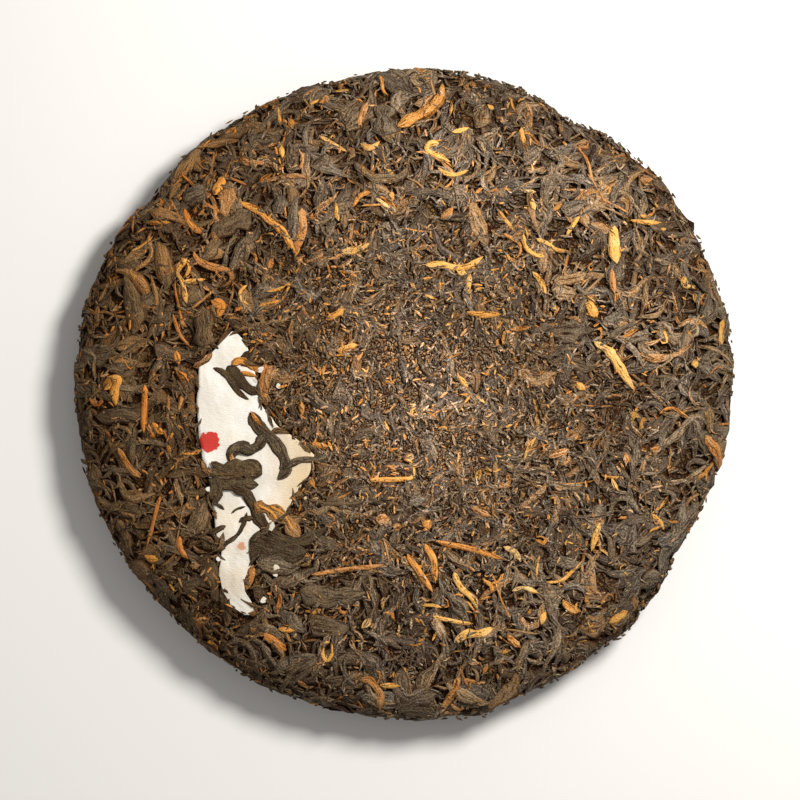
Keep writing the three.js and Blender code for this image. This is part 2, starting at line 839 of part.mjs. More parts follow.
function raisedLeaf( { points, width } ) {

	const { centres, normals } = leafLine( points, raisedLeafHeight, true, true );
	return leafRod( centres, normals, width, raisedLeafThickness, raisedLeafSteps );

}

function makeCake() {

	const body = skinBody( layBodyPoints() );
	const rods = [ ...crossingLeaves.map( crossingLeaf ), ...raisedLeaves.map( raisedLeaf ) ];
	const whole = rods.reduce( ( solid, rod ) => solid.add( rod ), body );
	const material = new THREE.MeshStandardMaterial( { color: 0x76593c, roughness: 0.62, metalness: 0 } );
	const mesh = new THREE.Mesh( toGeometry( whole ), material );
	mesh.name = 'tea_cake';
	return mesh;

}

// The slip's torn side at a height on the face, with small tears between the rows that are given.
function slipSide( y, column, draw ) {

	const above = slipRows.filter( ( row ) => row[ 0 ] >= y ).pop() ?? slipRows[ 0 ];
	const below = slipRows.find( ( row ) => row[ 0 ] < y ) ?? slipRows[ slipRows.length - 1 ];
	const span = above[ 0 ] - below[ 0 ];
	const share = span > 0 ? ( above[ 0 ] - y ) / span : 0;
	const tear = draw() * 0.5;
	return above[ column ] + ( below[ column ] - above[ column ] ) * share + ( column === 1 ? tear : - tear );

}

// A thin wavy sheet, with its upper and lower face split into the same triangles.
function makeSlip() {

	const draw = seededRandom( 7 );
	const top = slipRows[ 0 ][ 0 ];
	const bottom = slipRows[ slipRows.length - 1 ][ 0 ];
	const rows = Math.round( ( top - bottom ) / slipRowStep );
	const upper = [];
	for ( let row = 0; row <= rows; row ++ ) {

		const y = top + ( bottom - top ) * row / rows;
		const left = slipSide( y, 1, draw );
		const right = slipSide( y, 2, draw );
		for ( let column = 0; column < slipColumns; column ++ ) {

			const x = left + ( right - left ) * column / ( slipColumns - 1 );
			const wave = slipWave * Math.sin( x * 0.42 + y * 0.17 ) * Math.cos( y * 0.31 - x * 0.11 );
			upper.push( new THREE.Vector3( x, y, faceSurface( x, y ) - slipDrop + wave ) );

		}

	}

	const positions = [
		...upper.flatMap( ( point ) => point.toArray() ),
		...upper.flatMap( ( point ) => [ point.x, point.y, point.z - slipThickness ] ),
	];
	const under = upper.length;
	const at = ( row, column ) => row * slipColumns + column;
	const triangles = [];
	const addBothFaces = ( a, b, c ) => triangles.push( a, b, c, under + a, under + c, under + b );
	const addWall = ( a, b ) => triangles.push( a, under + a, under + b, a, under + b, b );
	for ( let row = 0; row < rows; row ++ ) {

		for ( let column = 0; column < slipColumns - 1; column ++ ) {

			addBothFaces( at( row, column ), at( row + 1, column ), at( row + 1, column + 1 ) );
			addBothFaces( at( row, column ), at( row + 1, column + 1 ), at( row, column + 1 ) );

		}

		addWall( at( row, 0 ), at( row + 1, 0 ) );
		addWall( at( row + 1, slipColumns - 1 ), at( row, slipColumns - 1 ) );

	}

	for ( let column = 0; column < slipColumns - 1; column ++ ) {

		addWall( at( 0, column + 1 ), at( 0, column ) );
		addWall( at( rows, column ), at( rows, column + 1 ) );

	}

	const material = new THREE.MeshStandardMaterial( { color: 0xf3ead6, roughness: 0.85, metalness: 0 } );
	const mesh = new THREE.Mesh( toGeometry( toSolid( positions, triangles ) ), material );
	mesh.name = 'paper_slip';
	return mesh;

}

const group = new THREE.Group();
group.add( makeCake() );
group.add( makeSlip() );

export default group;
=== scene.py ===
import math

import bpy
import numpy as np
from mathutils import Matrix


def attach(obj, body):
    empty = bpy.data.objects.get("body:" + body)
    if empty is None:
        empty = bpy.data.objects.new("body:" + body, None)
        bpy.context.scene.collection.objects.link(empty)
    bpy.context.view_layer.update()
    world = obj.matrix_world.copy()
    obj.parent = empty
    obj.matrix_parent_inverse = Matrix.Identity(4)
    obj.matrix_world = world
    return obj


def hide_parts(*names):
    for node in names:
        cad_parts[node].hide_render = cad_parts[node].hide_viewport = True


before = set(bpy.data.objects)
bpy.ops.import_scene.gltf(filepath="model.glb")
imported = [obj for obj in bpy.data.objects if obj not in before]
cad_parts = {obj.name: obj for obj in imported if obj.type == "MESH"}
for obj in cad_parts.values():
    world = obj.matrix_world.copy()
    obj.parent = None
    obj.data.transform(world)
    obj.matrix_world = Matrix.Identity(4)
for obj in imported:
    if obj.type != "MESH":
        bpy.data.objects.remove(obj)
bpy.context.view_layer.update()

millimetre = 0.001
up = np.array((0.0, 0.0, 1.0))


# Nodes as expressions.

def findSocket(sockets, name):
    if isinstance(name, int):
        return sockets[name]
    return next(socket for socket in sockets if socket.name == name and socket.enabled)


# A wire is an output socket that can stand in a sum.
class Wire:
    def __init__(self, maker, socket):
        self.maker = maker
        self.socket = socket

    def out(self, name):
        return Wire(self.maker, findSocket(self.socket.node.outputs, name))

    def maths(self, operation, *terms):
        kind = "ShaderNodeVectorMath" if self.socket.type == "VECTOR" else "ShaderNodeMath"
        return self.maker.node(kind, {"operation": operation}, dict(enumerate(terms)))

    def __add__(self, other):
        return self.maths("ADD", self, other)

    def __radd__(self, other):
        return self.maths("ADD", other, self)

    def __sub__(self, other):
        return self.maths("SUBTRACT", self, other)

    def __rsub__(self, other):
        return self.maths("SUBTRACT", other, self)

    def __mul__(self, other):
        return self.maths("MULTIPLY", self, other)

    def __rmul__(self, other):
        return self.maths("MULTIPLY", other, self)

    def __truediv__(self, other):
        return self.maths("DIVIDE", self, other)

    def __rtruediv__(self, other):
        return self.maths("DIVIDE", other, self)

    def __pow__(self, other):
        return self.maths("POWER", self, other)

    def __rpow__(self, other):
        return self.maths("POWER", other, self)


# Makes nodes in one tree. Settings come first, because they can change which sockets a node has.
class NodeMaker:
    def __init__(self, tree):
        self.tree = tree

    def node(self, kind, settings={}, sockets={}, out=0):
        made = self.tree.nodes.new(kind)
        for name, value in settings.items():
            if name == "stops":
                self.fillRamp(made.color_ramp, value)
            else:
                setattr(made, name, value)
        for name, value in sockets.items():
            self.feed(findSocket(made.inputs, name), value)
        if not made.outputs:
            return made
        return Wire(self, findSocket(made.outputs, out))

    def feed(self, plug, value):
        if isinstance(value, Wire):
            self.tree.links.new(value.socket, plug)
        elif plug.type == "RGBA":
            plug.default_value = (*value[:3], 1.0)
        elif plug.type == "VECTOR" and isinstance(value, (int, float)):
            plug.default_value = (value, value, value)
        else:
            plug.default_value = value

    def fillRamp(self, ramp, stops):
        while len(ramp.elements) < len(stops):
            ramp.elements.new(0.5)
        for element, (position, colour) in zip(ramp.elements, stops):
            element.position = position
            element.color = (*colour, 1.0)

    def smoothStep(self, value, low, high):
        return self.node("ShaderNodeMapRange", {"interpolation_type": "SMOOTHSTEP"},
                         {"Value": value, "From Min": low, "From Max": high})

    def mixColour(self, share, first, second, blend="MIX"):
        return self.node("ShaderNodeMix", {"data_type": "RGBA", "blend_type": blend},
                         {"Factor": share, "A": first, "B": second}, out="Result")

    def ramp(self, share, stops):
        return self.node("ShaderNodeValToRGB", {"stops": stops}, {"Fac": share})

    def join(self, x, y, z):
        return self.node("ShaderNodeCombineXYZ", {}, {"X": x, "Y": y, "Z": z})

    def split(self, vector):
        return self.node("ShaderNodeSeparateXYZ", {}, {"Vector": vector}, out="X")

    def noise(self, place, scale, detail=2.0, roughness=0.5):
        return self.node("ShaderNodeTexNoise", {},
                         {"Vector": place, "Scale": scale, "Detail": detail, "Roughness": roughness})

    def attribute(self, name):
        return self.node("ShaderNodeAttribute", {"attribute_name": name}, out="Fac")

    def objectPlace(self):
        return self.node("ShaderNodeTexCoord", out="Object")

    def bump(self, strength, distance, height):
        return self.node("ShaderNodeBump", {}, {"Strength": strength, "Distance": distance, "Height": height})

    # these work on geometry
    def named(self, label, kind="FLOAT"):
        return self.node("GeometryNodeInputNamedAttribute", {"data_type": kind}, {"Name": label})

    def store(self, geometry, label, value, kind="FLOAT"):
        return self.node("GeometryNodeStoreNamedAttribute", {"data_type": kind, "domain": "POINT"},
                         {"Geometry": geometry, "Name": label, "Value": value})

    def moved(self, geometry, offset):
        return self.node("GeometryNodeSetPosition", {}, {"Geometry": geometry, "Offset": offset})


def linear(red, green, blue):
    def one(value):
        value /= 255.0
        return value / 12.92 if value <= 0.04045 else ((value + 0.055) / 1.055) ** 2.4
    return one(red), one(green), one(blue)


def blend(patterns, shares):
    first, *others = (pattern * share for pattern, share in zip(patterns, shares))
    return sum(others, start=first)


def startMaterial(name):
    material = bpy.data.materials.new(name)
    material.use_nodes = True
    material.node_tree.nodes.clear()
    return material, NodeMaker(material.node_tree)


def finishMaterial(maker, sockets):
    shader = maker.node("ShaderNodeBsdfPrincipled", {}, sockets)
    maker.node("ShaderNodeOutputMaterial", {}, {"Surface": shader})


def addObject(name, data):
    made = bpy.data.objects.new(name, data)
    bpy.context.scene.collection.objects.link(made)
    return made


# Makes an object from points in millimetres. A column of values becomes an attribute of the points.
def makeObject(name, points, edges=(), faces=(), columns={}, material=None, smoothed=False):
    mesh = bpy.data.meshes.new(name)
    mesh.from_pydata(np.asarray(points) * millimetre, edges, faces)
    for label, values in columns.items():
        values = np.ascontiguousarray(values, dtype=np.float32)
        kind, field = ("FLOAT_VECTOR", "vector") if values.ndim == 2 else ("FLOAT", "value")
        mesh.attributes.new(label, kind, "POINT").data.foreach_set(field, values.ravel())
    if smoothed:
        mesh.shade_smooth()
    if material:
        mesh.materials.append(material)
    return addObject(name, mesh)


# A random value between two, nearer the first one where the power is above 1.
def between(pair, rng, power=1.0, size=None):
    return pair[0] + (pair[1] - pair[0]) * rng.random(size) ** power


# The smooth body that the leaves lie on, in millimetres.

body = {
    "radius": 100.0,
    "faceHeight": 24.5,
    "rimHeight": 11.0,
    "facePower": 4.6,
    "restOuter": 69.0,
    "restInner": 31.0,
    "dimpleDepth": 9.0,
    "dimpleWall": 21.0,
    # waves of the outline: turns, height, shift in degrees
    "outlineWaves": ((1, 1.02, -104), (2, 0.9, -45), (3, 1.0, -117), (4, 0.5, -29), (5, 0.25, -69),
                     (9, 0.3, 0)),
    # chips and bulges of the outline: place and width in degrees, height
    "outlineChips": ((60, 5, -2.2), (39, 4, 1.2), (141, 4, -1.5), (283, 3, 1.6), (313, 3.5, 1.5),
                     (330, 4, -1.0)),
    "faceWaves": ((88, 0.45, 20), (57, 0.35, 100), (36, 0.22, 155)),    # length, height, heading
    "sinkFrom": 8.0,    # past the rim, where the leaves begin to lie lower, so that the back can rest flat
    "sinkBy": 24.0,
    "facePoints": 260,
    "edgePoints": 120,
    "backPoints": 180,
}


def smooth(value, low, high):
    share = np.clip((value - low) / (high - low), 0.0, 1.0)
    return share * share * (3.0 - 2.0 * share)


# Half of the cake's section, from the middle of the face round the rim to the middle of the back.
def traceMeridian():
    faceCount, edgeCount, backCount = body["facePoints"], body["edgePoints"], body["backPoints"]
    turn = (np.arange(1, faceCount + 1) / faceCount) ** 2 * math.pi / 2
    faceRadius = body["radius"] * np.sin(turn) ** (2 / body["facePower"])
    faceTop = body["rimHeight"] + (body["faceHeight"] - body["rimHeight"]) * np.cos(turn)
    turn = (1 - np.arange(1, edgeCount + 1) / edgeCount) * math.pi / 2
    edgeRadius = body["restOuter"] + (body["radius"] - body["restOuter"]) * np.sin(turn)
    edgeHeight = body["rimHeight"] * (1 - np.cos(turn))
    backRadius = body["restOuter"] * (1 - np.arange(1, backCount) / backCount)
    backHeight = body["dimpleDepth"] * smooth(body["restInner"] - backRadius, 0, body["dimpleWall"])
    radius = np.concatenate((faceRadius, edgeRadius, backRadius))
    height = np.concatenate((faceTop, edgeHeight, backHeight))
    step = np.hypot(np.diff(radius), np.diff(height))
    along = radius[0] + np.concatenate(((0.0,), np.cumsum(step)))
    return radius, height, along, np.gradient(radius, along), np.gradient(height, along)


meridianRadius, meridianHeight, meridianAlong, slopeRadius, slopeHeight = traceMeridian()
rimAlong = meridianAlong[np.argmax(meridianRadius)]
wholeLength = meridianAlong[-1] + meridianRadius[-1]
sideReach = {"face": rimAlong + 5.0, "back": wholeLength - rimAlong + 1.0}      # how far each side is laid


def outlineSwell(radius, angle):
    outline = np.full_like(angle, body["radius"])
    for turns, height, shift in body["outlineWaves"]:
        outline += height * np.cos(turns * angle + math.radians(shift))
    for place, width, height in body["outlineChips"]:
        away = angle - math.radians(place)
        away = np.arctan2(np.sin(away), np.cos(away))
        outline += height * np.exp(-(away / math.radians(width)) ** 2)
    return 1 + (outline / body["radius"] - 1) * (radius / body["radius"]) ** 2


def bodyPoint(along, angle, lift):
    radius = np.interp(along, meridianAlong, meridianRadius)
    height = np.interp(along, meridianAlong, meridianHeight)
    outward = -np.interp(along, meridianAlong, slopeHeight)
    upward = np.interp(along, meridianAlong, slopeRadius)
    size = np.maximum(np.hypot(outward, upward), 1e-6)
    outward, upward = outward / size, upward / size
    reach = radius * outlineSwell(radius, angle) + outward * lift
    x, y = reach * np.cos(angle), reach * np.sin(angle)
    uneven = np.zeros_like(x)
    for length, amount, heading in body["faceWaves"]:
        across = x * math.cos(math.radians(heading)) + y * math.sin(math.radians(heading))
        uneven += amount * np.sin(across * 2 * math.pi / length + heading)
    faceShare = np.clip(height / body["faceHeight"], 0, 1) * (along < rimAlong)
    z = height + upward * lift + uneven * faceShare ** 2
    normal = np.stack((outward * np.cos(angle), outward * np.sin(angle), upward), axis=-1)
    return np.stack((x, y, z), axis=-1), normal


# Each side of the cake is laid out flat. There, the distance from the middle is the one along the surface.
def sidePoint(side, flat, lift):
    reach = np.hypot(flat[..., 0], flat[..., 1])
    angle = np.arctan2(flat[..., 1], flat[..., 0])
    along = reach if side == "face" else wholeLength - reach
    return bodyPoint(along, angle, lift)


# The smooth surface's points on one side.
def smoothPoint(side, flat):
    return sidePoint(side, flat, np.zeros(flat.shape[:-1]))[0]


# The flat place of a point of the face that is seen at x and y from above.
def flatPlace(seen):
    seen = np.asarray(seen, dtype=float)
    angle = np.arctan2(seen[..., 1], seen[..., 0])
    distance = np.hypot(seen[..., 0], seen[..., 1])
    radius = distance.copy()
    for _ in range(3):
        radius = distance / outlineSwell(radius, angle)
    onFace = meridianAlong <= rimAlong
    along = np.interp(radius, meridianRadius[onFace], meridianAlong[onFace])
    return np.stack((along * np.cos(angle), along * np.sin(angle)), axis=-1)


# The paper slip's place.

slip = {
    # torn sides down the face: y, left x, right x
    "rows": ((19.5, -52.8, -51.6), (15.4, -56.7, -48.0), (8.6, -62.6, -46.4), (-4.0, -63.5, -43.2),
             (-9.0, -63.0, -39.2), (-13.5, -62.6, -33.0), (-18.2, -61.8, -27.8), (-22.2, -60.8, -28.6),
             (-27.0, -58.4, -31.2), (-35.8, -58.2, -37.0), (-41.2, -57.8, -44.2), (-46.0, -55.8, -45.6),
             (-55.0, -56.6, -48.2), (-60.3, -55.2, -48.6), (-64.0, -53.4, -46.2), (-67.0, -48.8, -44.6)),
    "middle": (-45.0, -24.0),
    "around": (40.0, 66.0),     # a leaf further than this from the middle is nowhere near the paper
    "thickness": 0.3,
    "drop": 0.4,        # its upper face lies this far below the smooth surface
    "wave": 0.2,
    "crinkle": 0.05,
    "rowStep": 0.6,
    "columns": 28,
    "tear": 0.4,        # how far the torn edge strays
    "tearKnots": 4,     # rows between two places where it strays on its own
    "tearCoarse": 0.8,
    "tearFine": 0.15,
    "leftTear": 0.6,    # the left edge strays by this share of it
    "leastWidth": 0.4,
    "seed": 7,
}
leftSide = [(left, y) for y, left, _ in slip["rows"]]
rightSide = [(right, y) for y, _, right in slip["rows"]]
slipOutline = np.array(leftSide + rightSide[::-1])
slipSides = list(zip(slipOutline, np.roll(slipOutline, -1, axis=0)))


# How far points of the face lie outside the slip, negative inside it.
def outsideSlip(seen):
    x, y = seen[..., 0], seen[..., 1]
    nearest = np.full(x.shape, 1e9)
    inside = np.zeros(x.shape, dtype=bool)
    for start, end in slipSides:
        side = end - start
        offX, offY = x - start[0], y - start[1]
        share = np.clip((offX * side[0] + offY * side[1]) / (side @ side), 0, 1)
        nearest = np.minimum(nearest, np.hypot(offX - side[0] * share, offY - side[1] * share))
        if side[1] != 0:
            inside ^= ((start[1] > y) != (end[1] > y)) & (x < start[0] + side[0] * offY / side[1])
    return np.where(inside, -nearest, nearest)


def maybeNearSlip(centre):
    off = np.abs(centre - np.array(slip["middle"]))
    return off[0] < slip["around"][0] and off[1] < slip["around"][1]


def slipWave(x, y):
    return slip["wave"] * np.sin(x * 0.42 + y * 0.17) * np.cos(y * 0.31 - x * 0.11)


# Laying the leaves.

# The tops of what is laid so far are kept as a grid over each flat side.
layout = {
    "cell": 0.35,
    "reach": 124.0,
    "coreDepth": 1.0,       # where the core lies below the smooth surface
    "middleDepth": 0.65,    # the same in the middle of the face, where it is pressed crumbs
    "middleFrom": 14.0,
    "middleBy": 78.0,
    "slipCoreDepth": 1.9,
    "cap": 0.8,             # nothing is laid with its top above this
    "backCap": -0.12,       # the same on the back, which rests flat
    "capSpread": 0.25,      # how far below its cap a leaf may be pressed
    "crowded": 0.5,         # a leaf that would rest this much above its cap is left out
    "press": 0.45,          # how much of a leaf's thickness stays above what it lies on
    "stiffness": 0.14,      # slope at which a leaf leaves what it rests on
    "overPaper": 1.6,       # how far a leaf may reach over the paper's edge
    "paperWidth": 0.7,      # the share of its half width that counts for that
    "covered": 0.12,        # what lies this much above a leaf's top hides it
    "leastSeen": 0.2,       # a leaf of which less shows is taken out
    "bare": 0.5,            # a place no higher than this above the core still needs a leaf
    "bareRounds": 3,
    "overReach": 5.0,       # how far a leaf may stick out past the laid part
    "backMiddle": 1.0,      # nothing on the back crosses this
    "finerMiddle": 0.33,    # leaves in the middle are this much smaller
    "middleReach": 64.0,    # more small leaves are laid within this
    "thinFrom": 15.0,       # towards the middle a kind is laid more sparsely, by its own share
    "thinBy": 70.0,
    "plainer": 0.4,         # the lower left has fewer gold leaves
    "plainerFrom": 35.0,
    "plainerBy": 115.0,
    "thickness": 1.5,       # a leaf is this many times as thick as its flattened half width
    "edgeDrop": 0.45,       # its edges lie this much of its thickness lower
    "sunkBy": 0.25,         # its line lies this much of its flattened half width further in
    "felt": (-0.7, -0.35, 0.0, 0.35, 0.7),  # places across a leaf that rest on what is under it
    "lookedAt": (-0.6, 0.0, 0.6),           # places across a leaf that may be covered
    "roughKnots": 8,
    "roughSpan": (0.5, 1.5),
    "seedSpan": 90,
    "seed": 357,
}
gridSide = int(2 * layout["reach"] / layout["cell"])
gridLine = (np.arange(gridSide) + 0.5) * layout["cell"] - layout["reach"]
gridPlaces = np.stack(np.meshgrid(gridLine, gridLine, indexing="ij"), axis=-1)
gridDistance = np.hypot(gridPlaces[..., 0], gridPlaces[..., 1])


def gridCells(flat):
    cells = ((flat + layout["reach"]) / layout["cell"]).astype(int)
    return np.clip(cells, 0, gridSide - 1)


def topsAt(tops, flat):
    cells = gridCells(flat)
    return tops[cells[..., 0], cells[..., 1]]


# How much the middle of the face is crumbs, from 0 to 1.
def middleShare(reach):
    return 1 - smooth(reach, layout["middleFrom"], layout["middleBy"])


def startTops(side):
    tops = np.full((gridSide, gridSide), -layout["coreDepth"])
    if side == "face":
        tops += (layout["coreDepth"] - layout["middleDepth"]) * middleShare(gridDistance)
        seen = smoothPoint("face", gridPlaces)
        onPaper = outsideSlip(seen) < 0
        tops[onPaper] = -slip["drop"] + slipWave(seen[..., 0], seen[..., 1])[onPaper]
    return tops


# Places under a leaf: for each point of its line, one for each share of its half width.
def placesUnder(flat, halfWidth, across):
    heading = np.gradient(flat, axis=0)
    heading /= np.maximum(np.hypot(heading[:, 0], heading[:, 1]), 1e-9)[:, None]
    sideways = np.stack((-heading[:, 1], heading[:, 0]), axis=-1)
    return flat[:, None, :] + sideways[:, None, :] * (across[None, :] * halfWidth[:, None])[:, :, None]


# The top of a leaf that lies on what is under it, pressed in a little, and too stiff to follow every dip.
def restingTop(tops, flat, halfWidth, thickness, stiffness):
    found = topsAt(tops, placesUnder(flat, halfWidth, np.array(layout["felt"])))
    resting = (found.max(axis=1) + found.mean(axis=1)) / 2 + thickness * layout["press"]
    step = np.hypot(*np.diff(flat, axis=0).T)
    place = np.concatenate(((0.0,), np.cumsum(step)))
    apart = np.abs(place[:, None] - place[None, :])
    resting = (resting[None, :] - stiffness * apart).max(axis=1)
    resting[1:-1] = (resting[:-2] + 2 * resting[1:-1] + resting[2:]) / 4
    return resting


def stampLeaf(tops, flat, halfWidth, top, thickness):
    parts = 4
    share = np.linspace(0, len(flat) - 1, (len(flat) - 1) * parts + 1)
    fineX, fineY, fineWidth, fineTop = (np.interp(share, np.arange(len(flat)), column)
                                        for column in (flat[:, 0], flat[:, 1], halfWidth, top))
    across = np.linspace(-1, 1, max(3, int(2 * halfWidth.max() / layout["cell"]) + 2))
    cells = gridCells(placesUnder(np.stack((fineX, fineY), axis=-1), fineWidth, across))
    height = fineTop[:, None] - thickness * layout["edgeDrop"] * across[None, :] ** 2
    tops[cells[..., 0], cells[..., 1]] = np.maximum(tops[cells[..., 0], cells[..., 1]], height)


# What the leaf makers need of each leaf, point by point.
class LeafLines:
    columns = ("halfWidth", "flatness", "widest", "twist", "tone", "shade", "leafSeed", "lift")

    def __init__(self):
        self.leaves = []

    def add(self, side, flat, top, lift, own):
        points, normals = sidePoint(side, flat, lift)
        # a leaf's shade is the painted light and shade of its place, times its own shade
        own = {**own, "shade": placeShade(points) * own["shade"], "lift": top - capAt(side, flat)}
        spread = {label: np.broadcast_to(own[label], (len(flat),)) for label in self.columns}
        self.leaves.append({"flat": flat, "top": top, "points": points, "leafNormal": normals, **spread})

    # A leaf that others cover wholly is taken out again.
    def dropCovered(self, tops):
        kept = []
        for leaf in self.leaves:
            places = placesUnder(leaf["flat"], leaf["halfWidth"], np.array(layout["lookedAt"]))
            shown = topsAt(tops, places) < leaf["top"][:, None] + layout["covered"]
            if sum(share / len(layout["lookedAt"]) for share in shown.mean(axis=0)) > layout["leastSeen"]:
                kept.append(leaf)
        self.leaves = kept

    def toObject(self, name):
        edges = []
        first = 0
        for leaf in self.leaves:
            size = len(leaf["flat"])
            edges.extend((first + i, first + i + 1) for i in range(size - 1))
            first += size
        points, *columns = (np.concatenate([leaf[label] for leaf in self.leaves])
                            for label in ("points", "leafNormal", *self.columns))
        return makeObject(name, points, edges, [], dict(zip(("leafNormal", *self.columns), columns)))


def capAt(side, flat):
    reach = np.hypot(flat[:, 0], flat[:, 1])
    along = reach if side == "face" else wholeLength - reach
    sunk = smooth(along - rimAlong, body["sinkFrom"], body["sinkBy"])
    return layout["cap"] * (1 - sunk) + layout["backCap"] * sunk


# How wide a leaf is along it: it narrows over a share of its length at each end, but never to nothing.
ends = {"firstPower": 0.6, "lastPower": 0.7, "least": 0.12}


def taper(share, first, last):
    fromFirst = np.clip(share / first, 0, 1) ** ends["firstPower"]
    fromLast = np.clip((1 - share) / last, 0, 1) ** ends["lastPower"]
    return fromFirst * fromLast * (1 - ends["least"]) + ends["least"]


# Painted light and shade of the face, each as the span over which it sets in and its amount.
shadeOfPlace = {
    "heading": 37,              # degrees
    "headingSpan": (-110, 10),
    "lowerLeft": 1.03,          # how bright it is before that span; behind it, it is 1
    "rimSpan": (76, 104),
    "rim": 0.64,
    "rightSpan": (40, 95),
    "rightRim": 0.3,            # painted shade: the rim is darker still at the right
    "middleSpan": (6, 46),
    "middle": 0.74,
    "upperSpan": (25, 75),
    "upper": 0.2,
    "leftSpan": (40, 75),
    "leftAbove": (-60, -10),
    "left": 0.1,
}


# The painted light and shade of a place, multiplied into the colour of what lies there: darker at the rim,
# lighter in the middle, above and at the left.
def placeShade(seen):
    x, y = seen[..., 0], seen[..., 1]
    turned = math.radians(shadeOfPlace["heading"])
    across = x * math.cos(turned) + y * math.sin(turned)
    away = np.hypot(x, y)
    lowerLeft = shadeOfPlace["lowerLeft"]
    shade = lowerLeft + (1 - lowerLeft) * smooth(across, *shadeOfPlace["headingSpan"])
    middle = 1 - smooth(away, *shadeOfPlace["middleSpan"])
    upper = smooth(y, *shadeOfPlace["upperSpan"])
    left = smooth(-x, *shadeOfPlace["leftSpan"]) * smooth(y, *shadeOfPlace["leftAbove"])
    atRight = 1 + shadeOfPlace["rightRim"] * smooth(x, *shadeOfPlace["rightSpan"])
    atRim = smooth(away, *shadeOfPlace["rimSpan"]) * atRight
    shade = shade * (1 + shadeOfPlace["upper"] * upper) * (1 + shadeOfPlace["left"] * left)
    return shade * (1 - (1 - shadeOfPlace["rim"]) * atRim) * (1 + shadeOfPlace["middle"] * middle)


# Pressed leaves lie along with their neighbours. This is the way that they run at a place, as an angle.
grain = {"waves": ((41, 1.5, 15, 0.4), (27, 1.1, 80, 2.1), (17, 0.8, 140, 4.0), (63, 1.6, 110, 1.0))}


def grainHeading(x, y):
    heading = 0.0
    for length, amount, turned, start in grain["waves"]:
        across = x * math.cos(math.radians(turned)) + y * math.sin(math.radians(turned))
        heading += amount * math.sin(across * 2 * math.pi / length + start)
    return heading


# A path of even steps, from the heading of each.
def pathOf(turns, step):
    steps = np.stack((np.cos(turns), np.sin(turns)), axis=-1) * step
    return np.concatenate((np.zeros((1, 2)), np.cumsum(steps, axis=0)))


# How wide a leaf is at each point, against its even form.
def roughness(share, knots, amount, rng):
    return 1 + amount * np.interp(share * (knots - 1), np.arange(knots), rng.normal(size=knots))


bending = {
    "leastPoints": 4,
    "swayWaves": (1, 3),    # half waves along a leaf
    "swayStart": 6,
    "hook": (1.6, 3.2),
    "hookFrom": 0.55,       # the share of its length from which a hooked leaf bends round
}


# Draws one leaf as a bent path on the flat side.
def drawPath(kind, centre, coarse, rng):
    length = between(kind["length"], rng, kind["shortness"]) * coarse
    count = max(bending["leastPoints"], int(round(length / kind["step"] / max(coarse, 1.0))) + 1)
    share = np.linspace(0, 1, count)
    bend = rng.normal() * kind["bend"]
    turn = grainHeading(*centre) + rng.normal() * kind["stray"] + bend * (share - 0.5)
    sway = kind["sway"] * rng.normal()
    waves = between(bending["swayWaves"], rng)
    turn = turn + sway * np.sin(share * math.pi * waves + rng.random() * bending["swayStart"])
    if rng.random() < kind["hooked"]:
        hook = rng.choice((-1, 1)) * between(bending["hook"], rng)
        turn = turn + hook * smooth(share, bending["hookFrom"], 1.0)
    flat = pathOf(turn[1:], length / (count - 1))
    return flat - flat.mean(axis=0) + centre, share


# Where a leaf of this kind may lie, or None where there is no room for it.
def pickCentre(kind, tops, reach, rng, bare):
    if bare is None:
        angle = rng.random() * 2 * math.pi
        centre = reach * math.sqrt(rng.random()) * np.array((math.cos(angle), math.sin(angle)))
    else:
        centre = bare[rng.integers(len(bare))]
        if topsAt(tops, centre) > -layout["coreDepth"] + layout["bare"]:
            return None
    thinned = smooth(np.hypot(*centre), layout["thinFrom"], layout["thinBy"])
    return None if rng.random() > kind["centre"] + (1 - kind["centre"]) * thinned else centre


def layKind(side, kind, tops, lines, reach, rng, coarse=1.0, lower=0.0, bare=None):
    for _ in range(kind["count"]):
        centre = pickCentre(kind, tops, reach, rng, bare)
        if centre is None:
            continue
        fine = coarse
        if side == "face":
            fine *= 1 - layout["finerMiddle"] * middleShare(np.hypot(*centre))
        flat, share = drawPath(kind, centre, fine, rng)
        half = between(kind["halfWidth"], rng, kind["narrowness"]) * fine
        flatness = kind["flatness"] * (kind["flattest"] + kind["flatMore"] * rng.random())
        rough = roughness(share, layout["roughKnots"], kind["ragged"], rng)
        halfWidth = half * taper(share, kind["blunt"], kind["tip"]) * np.clip(rough, *layout["roughSpan"])
        away = np.hypot(flat[:, 0], flat[:, 1])
        if away.max() > reach + layout["overReach"] or (side == "back" and away.min() < layout["backMiddle"]):
            continue
        if side == "face" and maybeNearSlip(centre):
            gap = (outsideSlip(smoothPoint(side, flat)) - halfWidth * layout["paperWidth"]).min()
            if gap < -layout["overPaper"] * rng.random():
                continue
        tone = between(kind["tone"], rng, kind["darkness"])
        if side == "face":
            plain = smooth(-centre[0] - centre[1], layout["plainerFrom"], layout["plainerBy"])
            tone *= 1 - layout["plainer"] * plain
        cap = capAt(side, flat) - lower - layout["capSpread"] * rng.random()
        leaf = {"half": half, "halfWidth": halfWidth, "flatness": flatness, "tone": tone,
                "twist": kind["twist"] * rng.normal(), "shade": 1.0}
        layLeaf(side, tops, lines, flat, leaf, cap, rng, stiffness=layout["stiffness"] / coarse)


# Lays a leaf on what is there and presses it down to its cap.
def layLeaf(side, tops, lines, flat, leaf, cap, rng, crowded=layout["crowded"],
            stiffness=layout["stiffness"]):
    halfWidth, flatness = leaf["halfWidth"], leaf["flatness"]
    height = leaf["half"] * flatness
    top = restingTop(tops, flat, halfWidth, layout["thickness"] * height, stiffness)
    if (top - cap).mean() > crowded:
        return
    top = np.minimum(top, cap)
    stampLeaf(tops, flat, halfWidth, top, layout["thickness"] * height)
    lift = top - layout["thickness"] / 2 * halfWidth * flatness - layout["sunkBy"] * height
    seed = rng.random() * layout["seedSpan"]
    lines.add(side, flat, top, lift, {**leaf, "widest": leaf["half"], "leafSeed": seed})


